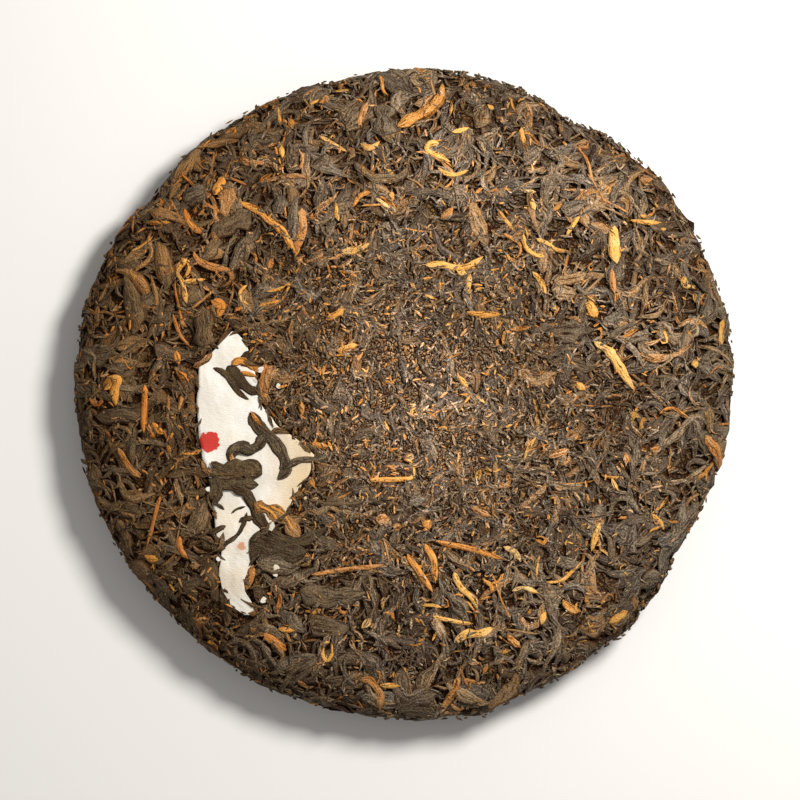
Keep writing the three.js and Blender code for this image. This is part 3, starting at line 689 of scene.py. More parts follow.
# Loose crumbs lie in the low places between the leaves.
crumbs = {
    # piece, side, how many are tried, and from and to which distance
    "sets": (("face_middle_crumbs", "face", 2400, 0.0, 54.0),
             ("face_crumbs", "face", 3200, 50.0, sideReach["face"]),
             ("back_crumbs", "back", 1500, 1.0, sideReach["back"])),
    "halfSize": (0.22, 0.5),
    "smallness": 1.3,
    "longer": (1.5, 4.4),
    "flatness": (0.4, 0.75),
    "below": 0.6,       # a crumb lies at least this far below the cap
    "sunk": 0.2,        # its middle is this much of its height above what it lies on
    "raises": 0.8,      # and what lies on it rests this much of its height up
    "around": 1.3,      # within this many half widths
    "stray": 0.7,
    "tone": (0.0, 0.8),
    "darkness": 2.4,
    "deepestShade": 0.42,    # how dark the painted shade makes the deepest ones
    "deepFrom": -1.2,
}


def layCrumbs(side, tops, count, inner, reach, rng):
    places, lifts, sizes, spins = [], [], [], []
    for _ in range(count):
        angle = rng.random() * 2 * math.pi
        distance = math.sqrt(inner ** 2 + (reach ** 2 - inner ** 2) * rng.random())
        centre = distance * np.array((math.cos(angle), math.sin(angle)))
        half = between(crumbs["halfSize"], rng, crumbs["smallness"])
        long = half * between(crumbs["longer"], rng)
        height = half * between(crumbs["flatness"], rng)
        cell = gridCells(centre)
        top = tops[cell[0], cell[1]]
        if top + height > capAt(side, centre[None])[0] - crumbs["below"]:
            continue
        nearSlip = side == "face" and maybeNearSlip(centre)
        if nearSlip and outsideSlip(smoothPoint(side, centre[None]))[0] < half:
            continue
        spread = int(round(crumbs["around"] * half / layout["cell"]))
        near = tops[cell[0] - spread:cell[0] + spread + 1, cell[1] - spread:cell[1] + spread + 1]
        np.maximum(near, top + height * crumbs["raises"], out=near)
        places.append(centre)
        lifts.append(top + height * crumbs["sunk"])
        sizes.append((long, half, height))
        spins.append(grainHeading(*centre) + rng.normal() * crumbs["stray"])
    lifts = np.array(lifts)
    points, normals = sidePoint(side, np.array(places), lifts)
    tones = between(crumbs["tone"], rng, crumbs["darkness"], len(lifts))
    # crumbs lying deep get painted shade, on top of the painted light of their place
    deepestShade = crumbs["deepestShade"]
    shades = placeShade(points) * (deepestShade + (1 - deepestShade) * smooth(lifts, crumbs["deepFrom"], 0.0))
    return points, {"facing": normals, "size": np.array(sizes), "spin": np.array(spins), "tone": tones,
                    "shade": shades, "lift": lifts, "leafSeed": rng.random(len(lifts)) * layout["seedSpan"]}


# Every kind of leaf in the cake. Lengths are in millimetres, and "centre" is the share laid in the middle.
plainLeaf = {"shortness": 1.3, "narrowness": 1.3, "bend": 0.9, "sway": 0.45, "hooked": 0.1, "stray": 0.6,
             "centre": 1.0, "blunt": 0.3, "tip": 0.5, "ragged": 0.14, "twist": 0.12, "darkness": 2.4,
             "step": 1.3, "flatness": 0.4, "flattest": 0.8, "flatMore": 0.4}
leafKinds = {
    "broadLeaf": {**plainLeaf, "count": 1150, "length": (8, 19), "halfWidth": (1.7, 4.0), "flatness": 0.17,
                  "tone": (0.0, 0.4), "centre": 0.88, "step": 1.5, "ragged": 0.25, "bend": 0.7,
                  "hooked": 0.03, "stray": 0.5, "tip": 0.45, "twist": 0.08, "sway": 0.3},
    "longLeaf": {**plainLeaf, "count": 1250, "length": (9, 22), "halfWidth": (0.9, 1.8), "tone": (0.0, 0.5),
                 "centre": 0.88, "flatness": 0.34, "step": 1.4, "darkness": 2.8, "bend": 1.1, "sway": 0.6,
                 "hooked": 0.14},
    "leaf": {**plainLeaf, "count": 1900, "length": (4, 11), "halfWidth": (0.5, 1.1), "tone": (0.0, 0.55),
             "bend": 1.1, "hooked": 0.16, "darkness": 2.8},
    "stem": {**plainLeaf, "count": 170, "length": (7, 18), "halfWidth": (0.4, 0.75), "flatness": 0.7,
             "tone": (0.28, 0.66), "bend": 0.35, "sway": 0.1, "hooked": 0.03, "centre": 0.4, "ragged": 0.04,
             "blunt": 0.05, "tip": 0.05, "darkness": 1.2, "stray": 1.4, "twist": 0.05, "step": 1.6},
    "bud": {**plainLeaf, "count": 215, "length": (3, 8.5), "halfWidth": (0.5, 1.1), "tone": (0.58, 0.9),
            "bend": 0.8, "hooked": 0.2, "darkness": 1.4, "stray": 1.2, "blunt": 0.15, "tip": 0.25},
    "fragment": {**plainLeaf, "count": 2900, "length": (1.8, 5.0), "halfWidth": (0.3, 0.7),
                 "tone": (0.0, 0.84), "step": 1.6, "stray": 0.8, "darkness": 4.2},
}
# the order in which they are laid: the kind, its share and how far below the cap it is pressed
layOrder = (("broadLeaf", 0.35, 0.55), ("longLeaf", 0.3, 0.5), ("leaf", 0.25, 0.4), ("broadLeaf", 0.35, 0.3),
            ("stem", 0.4, 0.2), ("longLeaf", 0.35, 0.2), ("leaf", 0.35, 0.15), ("broadLeaf", 0.3, 0.05),
            ("longLeaf", 0.3, 0.0), ("stem", 0.5, 0.0), ("leaf", 0.28, 0.0), ("broadLeaf", 0.06, 0.0),
            ("bud", 1.0, 0.0))
# small leaves that fill what is still bare
filler = {**leafKinds["leaf"], "length": (3, 7), "halfWidth": (0.5, 1.0), "hooked": 0.0}
fillerCount = {"face": 430, "back": 230}
# more small leaves in the middle of the face
middleLaid = {
    "leaf": {**leafKinds["leaf"], "count": 700, "length": (2.5, 7.5), "halfWidth": (0.45, 0.95)},
    "fragment": {**leafKinds["fragment"], "count": 900, "length": (1.6, 4.0), "halfWidth": (0.3, 0.6)},
}
# the back has fewer and coarser leaves
back = {
    "coarse": 1.35,
    "share": {"broadLeaf": 0.3, "longLeaf": 0.25, "leaf": 0.15, "stem": 0.3, "bud": 0.3, "fragment": 0.12},
    "fewerSides": {"broadLeaf": 3, "longLeaf": 2, "leaf": 1, "stem": 1, "bud": 1, "fragment": 0},
}
backKinds = {name: {**kind, "count": int(kind["count"] * back["share"][name]), "centre": 1.0}
             for name, kind in leafKinds.items()}


def laySide(side, kinds, rng, coarse=1.0, placed=()):
    tops = startTops(side)
    reach = sideReach[side]
    lines = {name: LeafLines() for name in kinds}
    for name, share, lower in layOrder:
        kind = {**kinds[name], "count": int(kinds[name]["count"] * share)}
        layKind(side, kind, tops, lines[name], reach, rng, coarse, lower)
    for _ in range(layout["bareRounds"]):
        bare = gridPlaces[(tops < -layout["coreDepth"] + layout["bare"]) & (gridDistance < reach)]
        kind = {**filler, "count": fillerCount[side]}
        layKind(side, kind, tops, lines["leaf"], reach, rng, coarse, 0.0, bare)
    if side == "face":
        for name, kind in middleLaid.items():
            layKind(side, kind, tops, lines[name], layout["middleReach"], rng)
    for name, width, tone, places in placed:
        layPlaced(name, width, tone, places, tops, lines[name], rng)
    layKind(side, kinds["fragment"], tops, lines["fragment"], reach, rng, coarse)
    if side == "face":
        layEdgeBits(tops, lines["leaf"], rng)
    return tops, lines


# Leaf bits cling to the torn edge of the paper, mostly along it.
edgeBits = {
    "apart": 4.2,
    "stray": 0.7,
    "turn": 0.5,
    "bend": 0.6,
    "length": (2.5, 7.0),
    "halfWidth": (0.5, 1.25),
    "tone": (0.0, 0.5),
    "darkness": 2.0,
    "ragged": 0.3,
    "twist": 0.05,
    "shade": 0.65,
    "cleanAbove": -18.0,    # the upper left edge has none
    "cleanLeft": -53.0,
}


def layEdgeBits(tops, lines, rng):
    for start, end in slipSides:
        size = math.hypot(*(end - start))
        for _ in range(int(size / edgeBits["apart"] + rng.random())):
            centre = start + (end - start) * rng.random() + rng.normal(size=2) * edgeBits["stray"]
            if centre[1] > edgeBits["cleanAbove"] and centre[0] < edgeBits["cleanLeft"]:
                continue
            length = between(edgeBits["length"], rng)
            share = np.linspace(0, 1, max(4, int(length)))
            turn = math.atan2(end[1] - start[1], end[0] - start[0]) + rng.normal() * edgeBits["turn"]
            turn = turn + rng.normal() * edgeBits["bend"] * (share[1:] - 0.5)
            path = pathOf(turn, length / (len(share) - 1))
            flat = flatPlace(path - path.mean(axis=0) + centre)
            half = between(edgeBits["halfWidth"], rng)
            rough = 1 + edgeBits["ragged"] * rng.normal(size=len(flat))
            tapered = taper(share, plainLeaf["blunt"], plainLeaf["tip"])
            leaf = {"half": half, "halfWidth": half * tapered * np.clip(rough, *layout["roughSpan"]),
                    "flatness": plainLeaf["flatness"],
                    "tone": between(edgeBits["tone"], rng, edgeBits["darkness"]),
                    "twist": edgeBits["twist"] * rng.normal(), "shade": edgeBits["shade"]}
            layLeaf("face", tops, lines, flat, leaf, capAt("face", flat), rng)


# Small bits stand off the rim, most of them at its upper right.
rimBits = {
    "spans": ((0, 360, 170), (42, 84, 120), (-62, -28, 40)),    # from and to in degrees, and how many
    "length": (1.2, 3.2),
    "halfWidth": (0.4, 0.95),
    "start": (-4.6, 0.6),       # where they begin, seen from the rim
    "slant": 1.1,
    "rise": (0.0, 0.9),
    "smallRise": 1.6,           # most of them rise little
    "lift": 0.25,
    "blunt": 0.2,
    "tip": 0.3,
    "twist": 0.1,
    "tone": (0.0, 0.4),
    "darkness": 2.0,
    # the shade is painted shade of the rim's edge
    "shade": 0.62,
    "seed": 23,
}


def layRimBits(lines):
    rng = np.random.default_rng(rimBits["seed"])
    share = np.linspace(0, 1, 4)
    for first, last, count in rimBits["spans"]:
        for _ in range(count):
            angle = math.radians(between((first, last), rng))
            slant = rng.normal() * rimBits["slant"]
            far = between(rimBits["length"], rng) * share
            reach = rimAlong + between(rimBits["start"], rng) + far * math.cos(slant)
            turn = angle + far * math.sin(slant) / body["radius"]
            flat = np.stack((reach * np.cos(turn), reach * np.sin(turn)), axis=-1)
            lift = rimBits["lift"] + between(rimBits["rise"], rng, rimBits["smallRise"]) * share ** 1.5
            half = between(rimBits["halfWidth"], rng)
            lines.add("face", flat, lift, lift, {
                "halfWidth": half * taper(share, rimBits["blunt"], rimBits["tip"]), "widest": half,
                "flatness": plainLeaf["flatness"], "twist": rimBits["twist"] * rng.normal(),
                "tone": between(rimBits["tone"], rng, rimBits["darkness"]), "shade": rimBits["shade"],
                "leafSeed": rng.random() * layout["seedSpan"]})


# How the placed leaves are laid.
placing = {
    "fineStep": 0.9,        # along a path through more than three points
    "halfShare": {"bud": 0.68, "stem": 0.68},   # half the width, of the width that is given
    "otherHalf": 0.6,
    "ragged": 1.2,          # times as ragged as the others of its kind
    "roughSpan": (0.6, 1.5),
    "blunt": 0.1,
    "tip": 0.18,
    "twist": 0.05,
    "broadThicker": 1.3,
    "paler": {"bud": 0.05},
    "darkFrom": 0.4,        # below this tone a leaf begins to take the shade of a dark one
    "darkBy": 0.1,          # and from here down it has it in full
    "nearPaper": 1.0,       # a leaf this close to the paper counts as on it
    "goldOnPaper": 0.95,
    "darkOnPaper": 0.52,
    "darkBroad": 0.16,      # how much darker a dark broad leaf is
    "darkOther": 0.36,
    "raised": 0.3,          # placed leaves may stand this much above the cap
    "crowded": 9.0,         # and none is left out
}


def smoothPath(places, step):
    places = np.array(places, dtype=float)
    along = np.concatenate(((0.0,), np.cumsum(np.hypot(*np.diff(places, axis=0).T))))
    count = max(4, int(round(along[-1] / step)) + 1)
    fine = np.linspace(0, along[-1], count)
    path = np.stack((np.interp(fine, along, places[:, 0]), np.interp(fine, along, places[:, 1])), axis=-1)
    for _ in range(2):
        path[1:-1] = (path[:-2] + 2 * path[1:-1] + path[2:]) / 4
    return path, np.linspace(0, 1, count)


def layPlaced(name, width, tone, places, tops, lines, rng):
    kind = leafKinds[name]
    path, share = smoothPath(places, placing["fineStep"] if len(places) > 3 else kind["step"])
    flat = flatPlace(path)
    half = width * placing["halfShare"].get(name, placing["otherHalf"])
    knots = max(layout["roughKnots"], len(path) // 2)
    rough = roughness(share, knots, placing["ragged"] * kind["ragged"], rng)
    tapered = taper(share, placing["blunt"], placing["tip"])
    dark = smooth(-tone, -placing["darkFrom"], -placing["darkBy"])     # 1 for a dark leaf, 0 for a gold one
    broad = name == "broadLeaf"
    onPaper = outsideSlip(path).min() < placing["nearPaper"]
    if onPaper:
        shade = placing["goldOnPaper"] + (placing["darkOnPaper"] - placing["goldOnPaper"]) * dark
    else:
        shade = 1 - (placing["darkBroad"] if broad else placing["darkOther"]) * dark
    raised = 0.0 if broad and not onPaper else placing["raised"]
    leaf = {"half": half, "halfWidth": half * tapered * np.clip(rough, *placing["roughSpan"]),
            "flatness": kind["flatness"] * (placing["broadThicker"] if broad else 1.0),
            "tone": tone + placing["paler"].get(name, 0.0), "twist": placing["twist"] * rng.normal(),
            "shade": shade}
    layLeaf("face", tops, lines, flat, leaf, capAt("face", flat) + raised, rng, placing["crowded"])


# Leaves, buds and stems that show best, each where it lies: kind, width, tone and the points it passes.
placedLeaves = (
    ("bud", 1.2, 0.8, ((-38.8, 88.6), (-38.1, 82.8))),
    ("bud", 2.5, 0.6, ((-35, 84.8), (-34.2, 82))),
    ("stem", 2.2, 0.48, ((-11.5, 89.4), (-14.2, 82.1))),
    ("bud", 1.3, 0.88, ((-26.2, 79.4), (-17.7, 74.4))),
    ("bud", 1.8, 0.85, ((-13.5, 76.7), (-10.4, 75.2), (-7.7, 77.5))),
    ("bud", 2, 0.8, ((-37.7, 76.3), (-37.3, 72.5))),
    ("bud", 2.4, 0.7, ((-58.5, 61.3), (-55.4, 67.1))),
    ("bud", 1.2, 0.68, ((-79.6, 53.2), (-71.5, 52.9))),
    ("bud", 2, 0.6, ((-67.3, 57.1), (-66.2, 53.2), (-62.3, 49.4))),
    ("longLeaf", 2.2, 0.74, ((-50.4, 59), (-45.4, 57.1), (-40.8, 53.2), (-36.9, 50.2), (-33.1, 43.2))),
    ("longLeaf", 3.5, 0.56, ((-31.5, 57.1), (-30.4, 50.9), (-33.1, 44))),
    ("bud", 2, 0.88, ((-66.5, 41.7), (-70, 37.8), (-67.7, 34.8), (-66.5, 28.2))),
    ("bud", 1.4, 0.85, ((-67.7, 34.8), (-60.8, 35.5))),
    ("bud", 3, 0.66, ((-59.2, 29), (-54.6, 27.8), (-56.9, 24))),
    ("bud", 1, 0.88, ((-48.1, 33.6), (-50.4, 31.7), (-50, 29), (-47.7, 27.8))),
    ("bud", 2.2, 0.85, ((-19.2, 44), (-15.4, 44.4), (-10.8, 46.3))),
    ("bud", 2.4, 0.72, ((-24.2, 23.2), (-18.5, 26.3))),
    ("bud", 2.5, 0.72, ((-20.8, 13.6), (-14.6, 15.5))),
    ("stem", 1.2, 0.5, ((-70.8, 24.8), (-68.5, 17.8), (-65.4, 14.8))),
    ("bud", 2.2, 0.68, ((-69.6, 13.6), (-68.8, 9.4))),
    ("bud", 2.6, 0.8, ((-91.9, 1.7), (-90, 5.5), (-86.9, 5.5), (-88.5, 0.9), (-88.1, -3))),
    ("stem", 2.2, 0.62, ((-79.2, 3.2), (-79.6, -11.4))),
    ("bud", 1.2, 0.95, ((-8.9, 60.2), (-4.6, 57.1))),
    ("bud", 2, 0.7, ((-3.8, 62), (-4.2, 60))),
    ("stem", 1, 0.5, ((-32.3, 74.8), (-30.4, 71.7), (-32.3, 68.6))),
    ("longLeaf", 3.4, 0.18, ((-15.4, 70.9), (-9.2, 66.3), (-2.3, 66.3), (0.8, 69.4))),
    ("leaf", 2, 0.62, ((-44.6, 65.5), (-40.8, 67.8))),
    ("leaf", 2.5, 0.5, ((-40.4, 41.7), (-41.5, 38.6))),
    ("bud", 1, 0.82, ((-21.5, 93.2), (-16.9, 94))),
    ("bud", 1, 0.82, ((-29.2, 89), (-26.2, 90.5))),
    ("broadLeaf", 7, 0.05, ((-7, 79), (-7, 89))),
    ("broadLeaf", 4, 0.04, ((-48, 79), (-38, 79))),
    ("broadLeaf", 4, 0.04, ((-35, 67.5), (-35, 77))),
    ("broadLeaf", 5, 0.06, ((-40, 55.5), (-37, 61))),
    ("broadLeaf", 5, 0.05, ((-29, 70), (-23, 73))),
    ("broadLeaf", 8, 0.06, ((-59, 50), (-47, 56))),
    ("broadLeaf", 6, 0.05, ((-68, 60), (-61, 64))),
    ("broadLeaf", 8, 0.08, ((-62, 15), (-62, 27))),
    ("longLeaf", 4, 0.66, ((-2.4, 82), (1.5, 84.8), (6.9, 87), (10.7, 91.7), (11.5, 95.5))),
    ("bud", 1.5, 0.82, ((14.2, 80.2), (19.6, 81.7))),
    ("bud", 1.8, 0.8, ((10.3, 76.7), (7.3, 76.7), (6.1, 74.8), (9.2, 73.6), (13.8, 71))),
    ("bud", 1.3, 0.78, ((10, 69.4), (12.3, 67.8), (15, 67), (19.2, 68.6))),
    ("leaf", 1.8, 0.02, ((20, 79.4), (23.8, 78.6), (26.1, 74.8), (27.6, 71.7), (30.7, 69.4), (34.6, 70.2))),
    ("bud", 2, 0.66, ((20.7, 97.5), (21.5, 94.8))),
    ("bud", 1.4, 0.82, ((25.3, 89), (27.3, 87.8))),
    ("bud", 1.2, 0.92, ((35.3, 62.8), (40, 62.1))),
    ("bud", 2, 0.78, ((38.8, 60.2), (39.6, 56.3))),
    ("bud", 1.5, 0.78, ((28.4, 56.7), (33, 50.5))),
    ("bud", 1.3, 0.8, ((36.1, 49.4), (36.5, 45.5), (38.8, 43.2), (43, 42.4))),
    ("bud", 1.3, 0.8, ((40, 47.8), (43.8, 46.3), (46.1, 44.4), (50, 44))),
    ("stem", 1, 0.6, ((30, 49.4), (35.3, 46.3), (35.3, 43.2), (33.8, 41.7))),
    ("bud", 2.2, 0.82, ((6.1, 39.8), (10, 40.5), (15.3, 39), (19.2, 39.4), (23.8, 42.4))),
    ("bud", 2.4, 0.85, ((15.6, 38.6), (18.8, 37))),
    ("bud", 1.6, 0.82, ((20, 37.1), (19.2, 30.9))),
    ("bud", 1.8, 0.8, ((38.8, 37.8), (41.5, 35.5), (43, 30.9))),
    ("bud", 1.8, 0.72, ((18.8, 25.5), (22.3, 24.8), (29.2, 24.8))),
    ("bud", 2, 0.84, ((45, 28.6), (45.7, 25.2))),
    ("bud", 3, 0.72, ((56.1, 29), (58.4, 23.6))),
    ("bud", 3.2, 0.84, ((63.8, 51.7), (64.2, 46.3), (64.6, 40.2))),
    ("stem", 2, 0.5, ((63, 38.6), (63.8, 30.9))),
    ("bud", 1.4, 0.78, ((68.8, 53.6), (73.8, 52.9), (78.4, 52.9))),
    ("bud", 1.8, 0.8, ((85.3, 36.3), (86.1, 33.2))),
    ("bud", 2.8, 0.86, ((57.6, 16.3), (62.3, 14), (65.3, 9.4), (69.9, 1.7))),
    ("bud", 2, 0.82, ((97.2, 23.2), (96.5, 15.5))),
    ("bud", 2.5, 0.85, ((88.8, 11), (88.8, 8.4))),
    ("leaf", 2.5, 0.55, ((10.7, 54), (14.6, 57.1))),
    ("bud", 2.5, 0.75, ((52.3, 4), (55, 1.7))),
    ("bud", 1.6, 0.8, ((16.1, 6.3), (19.2, 2.5))),
    ("stem", 1.8, 0.6, ((66.1, 17.8), (70.7, 20.2))),
    ("stem", 1.5, 0.6, ((31.9, 20.2), (38.4, 20.9))),
    ("longLeaf", 4, 0.36, ((45.3, 34.8), (55.3, 37.1))),
    ("broadLeaf", 3.6, 0.46, ((54.5, 61), (59.5, 64))),
    ("broadLeaf", 3.6, 0.46, ((51.5, 76), (56.5, 78))),
    ("broadLeaf", 6, 0.05, ((44, 20.2), (57.5, 20.2))),
    ("broadLeaf", 5, 0.05, ((60, 22), (66, 25))),
    ("broadLeaf", 6, 0.06, ((47.5, 57), (55, 59))),
    ("longLeaf", 4, 0.35, ((35.4, 8.2), (40, 4), (46.1, 7.1))),
    ("leaf", 3, 0.45, ((71.5, 66.3), (76, 66.3))),
    ("bud", 2, 0.7, ((-76.9, -8.3), (-73.8, -11.8))),
    ("bud", 1.5, 0.8, ((-65.4, -17.7), (-62, -16.6))),
    ("leaf", 2.2, 0.45, ((-87.7, -16), (-83.8, -22.2), (-80.8, -25.2))),
    ("stem", 1.3, 0.55, ((-74.6, -30.6), (-78.8, -46))),
    ("stem", 2, 0.55, ((-68.5, -42.9), (-69.2, -46), (-66.2, -49.8))),
    ("bud", 2.5, 0.74, ((-79.4, -48.8), (-75.4, -50.4))),
    ("leaf", 3, 0.3, ((-65.8, -51.8), (-62.6, -51.8))),
    ("leaf", 3.5, 0.5, ((-63.9, -68.7), (-59.9, -68.7))),
    ("bud", 2, 0.72, ((-61.2, -76.8), (-58.8, -75.3))),
    ("stem", 1.6, 0.52, ((-28.5, -54.5), (-21.5, -53.3), (-6.5, -51.5))),
    ("stem", 1.7, 0.74, ((-10.8, -25.6), (0, -25.4), (3.1, -24.9))),
    ("bud", 1.8, 0.78, ((-28.5, -66.4), (-24.6, -64.5))),
    ("stem", 1, 0.6, ((-18.5, -62.2), (-20.4, -65.2), (-18.5, -66.8), (-16.5, -64.5))),
    ("broadLeaf", 7, 0.04, ((-32, -59), (-22, -61), (-12, -60))),
    ("broadLeaf", 6, 0.04, ((-29, -69), (-17, -71))),
    ("bud", 2.4, 0.95, ((-13.3, -70.9), (-10.6, -68))),
    ("bud", 1.8, 0.78, ((-6.5, -61.4), (-6.9, -65.2))),
    ("longLeaf", 2.8, 0.62, ((-43.1, -72.5), (-39.2, -75.2), (-36.2, -77.9))),
    ("bud", 1.8, 0.68, ((-38.5, -71), (-33.8, -71.8))),
    ("bud", 1.3, 0.8, ((-22.9, -75.2), (-25, -75.6), (-25.4, -78.3), (-24, -81.4), (-22.2, -79),
        (-22.3, -75.6))),
    ("leaf", 2.8, 0.55, ((-13.8, -86.8), (-10.8, -86), (-6.9, -91.4), (-7.7, -96))),
    ("bud", 1.8, 0.8, ((-7.7, -88.3), (-1.5, -88.7))),
    ("bud", 2, 0.7, ((-29.4, -94.4), (-26.6, -95))),
    ("stem", 1.5, 0.1, ((-29.2, -31.8), (-24.6, -32.9), (-13.8, -32.9))),
    ("leaf", 4, 0.5, ((-9, -37.5), (-4.6, -37.5))),
    ("leaf", 2.5, 0.5, ((-3.8, -39.8), (-0.8, -39.8))),
    ("bud", 1.8, 0.68, ((-28.5, -14.5), (-23.1, -15.6))),
    ("bud", 1.8, 0.68, ((-31.5, -2), (-31.2, -6))),
    ("bud", 2, 0.66, ((-29, -24.8), (-27.5, -28))),
    ("bud", 1.6, 0.66, ((-33.1, -46.8), (-29.2, -49))),
    ("stem", 2.2, 0.68, ((0.7, -48.3), (4.6, -53.7), (8.4, -59.8))),
    ("stem", 2.4, 0.7, ((6.1, -45.2), (9.2, -49.8), (9.2, -56.8))),
    ("bud", 1.8, 0.84, ((15, -53.7), (16.9, -58.3), (21.5, -62.2), (21.9, -65.2))),
    ("bud", 1.6, 0.82, ((8.4, -67.2), (16.9, -69.1), (20.7, -69.5))),
    ("bud", 2.8, 0.85, ((15, -75.2), (18.4, -72.2), (23, -72.5), (26.9, -70.6))),
    ("bud", 1.6, 0.9, ((32.6, -59.5), (36.1, -57.9), (40.7, -60.2))),
    ("bud", 1.8, 0.9, ((30, -46), (33.8, -47.2), (35.3, -50.6))),
    ("stem", 1.8, 0.62, ((10, -44.5), (20, -46.4), (30, -49.8))),
    ("leaf", 2.4, 0.6, ((16.5, -86), (15.3, -90.6), (10.7, -97))),
    ("longLeaf", 3, 0.68, ((48, -62.2), (50.7, -65.2), (53.8, -66))),
    ("bud", 2, 0.8, ((59.2, -38.7), (58.4, -42.9), (56.9, -47.5))),
    ("bud", 1.6, 0.88, ((63, -25.2), (65, -29.1))),
    ("longLeaf", 4, 0.6, ((91.5, -12.2), (95.3, -16), (96.5, -22.9))),
    ("bud", 1.6, 0.84, ((68.4, -4.8), (71.9, -6.8))),
    ("bud", 1.2, 0.8, ((36.1, -19.8), (37.6, -15.2), (40, -12.5))),
    ("bud", 1.8, 0.75, ((23, -22.5), (21.9, -26.4))),
    ("leaf", 2, 0.52, ((26.9, -27.2), (32.3, -27.5))),
    ("leaf", 2.6, 0.5, ((43, -18.3), (50, -16.4))),
    ("leaf", 2.4, 0.42, ((34.6, -34.5), (43, -27.5))),
    ("stem", 2.2, 0.45, ((20, -33.7), (26.1, -36.8))),
    ("bud", 3, 0.62, ((5.2, -39), (8.6, -39))),
    ("leaf", 2.6, 0.6, ((31.1, -73), (35.3, -76.8))),
    ("bud", 1.8, 0.75, ((28.4, -78.3), (32.3, -77.9))),
    ("bud", 1.5, 0.68, ((23.8, -84.8), (25.3, -82))),
    ("longLeaf", 3.5, 0.78, ((62.3, -69.5), (68.4, -66))),
    ("bud", 2, 0.8, ((43, -66), (41.5, -69.8))),
    ("bud", 1.3, 0.8, ((43, -56.8), (47.7, -56.8), (53.8, -50.6))),
    ("bud", 1.5, 0.8, ((1.5, -6), (3, -2.2))),
    ("leaf", 3, 0.3, ((93, -11.5), (93, -3.5))),
    ("broadLeaf", 4, 0.02, ((-3, -95.8), (4.6, -92.2), (10, -91.4))),
    # the leaves that cross the paper
    ("broadLeaf", 5.4, 0.06, ((-50, 11.6), (-45.4, 12.8), (-39.6, 12))),
    ("leaf", 2.6, 0.4, ((-64.6, 8.8), (-61.6, 10.2), (-58.8, 13))),
    ("broadLeaf", 5.2, 0.0, ((-54.0, 9.0), (-51.4, 6.4), (-48.6, 3.4), (-46.2, 1.4), (-43.6, 1.8))),
    ("leaf", 2.2, 0.03, ((-58.4, 8.4), (-55.6, 7.8), (-52.8, 4.8), (-50.4, 0.8), (-47.6, -1.2))),
    ("bud", 2.3, 0.7, ((-52.6, 9.4), (-51.4, 11), (-49.6, 11), (-46.7, 8.9), (-43.4, 7.2))),
    ("bud", 1.5, 0.66, ((-50.2, 7.3), (-47.6, 6.8), (-45, 5.8))),
    ("longLeaf", 3.4, 0.52, ((-42.4, 9.6), (-42.9, 5), (-42.6, 0.2), (-42.2, -3))),
    ("longLeaf", 3, 0.44, ((-39.4, 9), (-41.4, 6.6), (-41.8, 2))),
    ("longLeaf", 4.6, 0.06, ((-46.9, -5), (-45, -8), (-42.6, -11), (-39.4, -13.6), (-37.4, -16.6),
        (-35.8, -20.6), (-35.8, -23.6), (-38.6, -25.6))),
    ("leaf", 1.6, 0.62, ((-47, -4.8), (-45.4, -6.8), (-43.8, -9.2))),
    ("leaf", 4.2, 0.04, ((-42.6, -11.6), (-43.6, -15), (-47.3, -17.3), (-50, -15.9), (-52.6, -17.3),
        (-53, -21))),
    ("leaf", 1.8, 0.4, ((-52.6, -17.6), (-53.2, -19.4), (-51.6, -20.8))),
    ("leaf", 2.6, 0.05, ((-37, -22.4), (-34.6, -20.2), (-32, -19.2), (-26.2, -19.5), (-20.5, -16.4))),
    ("broadLeaf", 8.2, 0.12, ((-58, -23.8), (-54, -23.6), (-49.6, -22.8), (-44, -23.6))),
    ("longLeaf", 3.2, 0.14, ((-73, -24.6), (-66, -22.8), (-58.9, -23.0), (-52.8, -23.8), (-46, -22.8))),
    ("broadLeaf", 4.6, 0.12, ((-58.9, -25.6), (-54, -26.2), (-50, -25.8), (-44.6, -27.2))),
    ("broadLeaf", 6.2, 0.1, ((-55, -21.6), (-50.4, -20.8), (-46.6, -21.6), (-43.6, -24.2))),
    ("leaf", 2.8, 0.04, ((-59, -20.2), (-56, -21.4), (-54, -23.4))),
    ("leaf", 2.2, 0.2, ((-51, -23.4), (-48, -23), (-45.2, -24.8))),
    ("broadLeaf", 5, 0.04, ((-56.6, -24.6), (-57.2, -28.6), (-57.4, -33))),
    ("longLeaf", 2.8, 0.1, ((-67, -29.8), (-63, -29.6), (-60.4, -28.8))),
    ("longLeaf", 3.6, 0.02, ((-53.6, -26.6), (-50.6, -28), (-47.9, -29.3), (-46.2, -32.7), (-44.9, -35.8),
        (-41.8, -40.6), (-37.6, -43.7), (-32, -44.3), (-23.6, -40))),
    ("broadLeaf", 5.2, 0.36, ((-46, -32.8), (-40, -34.8), (-35.6, -37.4), (-32, -43))),
    ("bud", 0.9, 0.72, ((-44.6, -33.4), (-40.4, -35.2), (-38, -39.4))),
    ("bud", 0.9, 0.72, ((-41, -33.6), (-36.6, -36), (-34, -41))),
    ("broadLeaf", 7.4, 0.0, ((-47.2, -43.8), (-43, -45), (-37, -46.8), (-30, -47.6))),
    ("broadLeaf", 6, 0.05, ((-45, -50.4), (-40, -50), (-32, -52))),
    ("broadLeaf", 4.6, 0.05, ((-59.6, -50), (-58.6, -56), (-57.4, -63))),
    ("leaf", 1.7, 0.03, ((-59, -47.6), (-57.3, -46.8), (-54, -44.4), (-51, -42.6), (-49.4, -39.4),
        (-48.2, -35.6))),
    ("leaf", 3, 0.58, ((-46.4, -51.6), (-46.8, -56), (-48.6, -59.4))),
    ("broadLeaf", 3.6, 0.04, ((-46.2, -59), (-42.8, -61.2), (-39.6, -63.6))),
    ("leaf", 1.0, 0.04, ((-58.6, -32.6), (-57.4, -32.8), (-56.2, -33.4), (-55.0, -34.8))),
    ("leaf", 0.9, 0.04, ((-53.0, -36), (-52.2, -35), (-50.8, -34.2), (-48.6, -33.8))),
    ("leaf", 1.9, 0.04, ((-60, -42), (-56.6, -40.4), (-54.6, -39.6))),
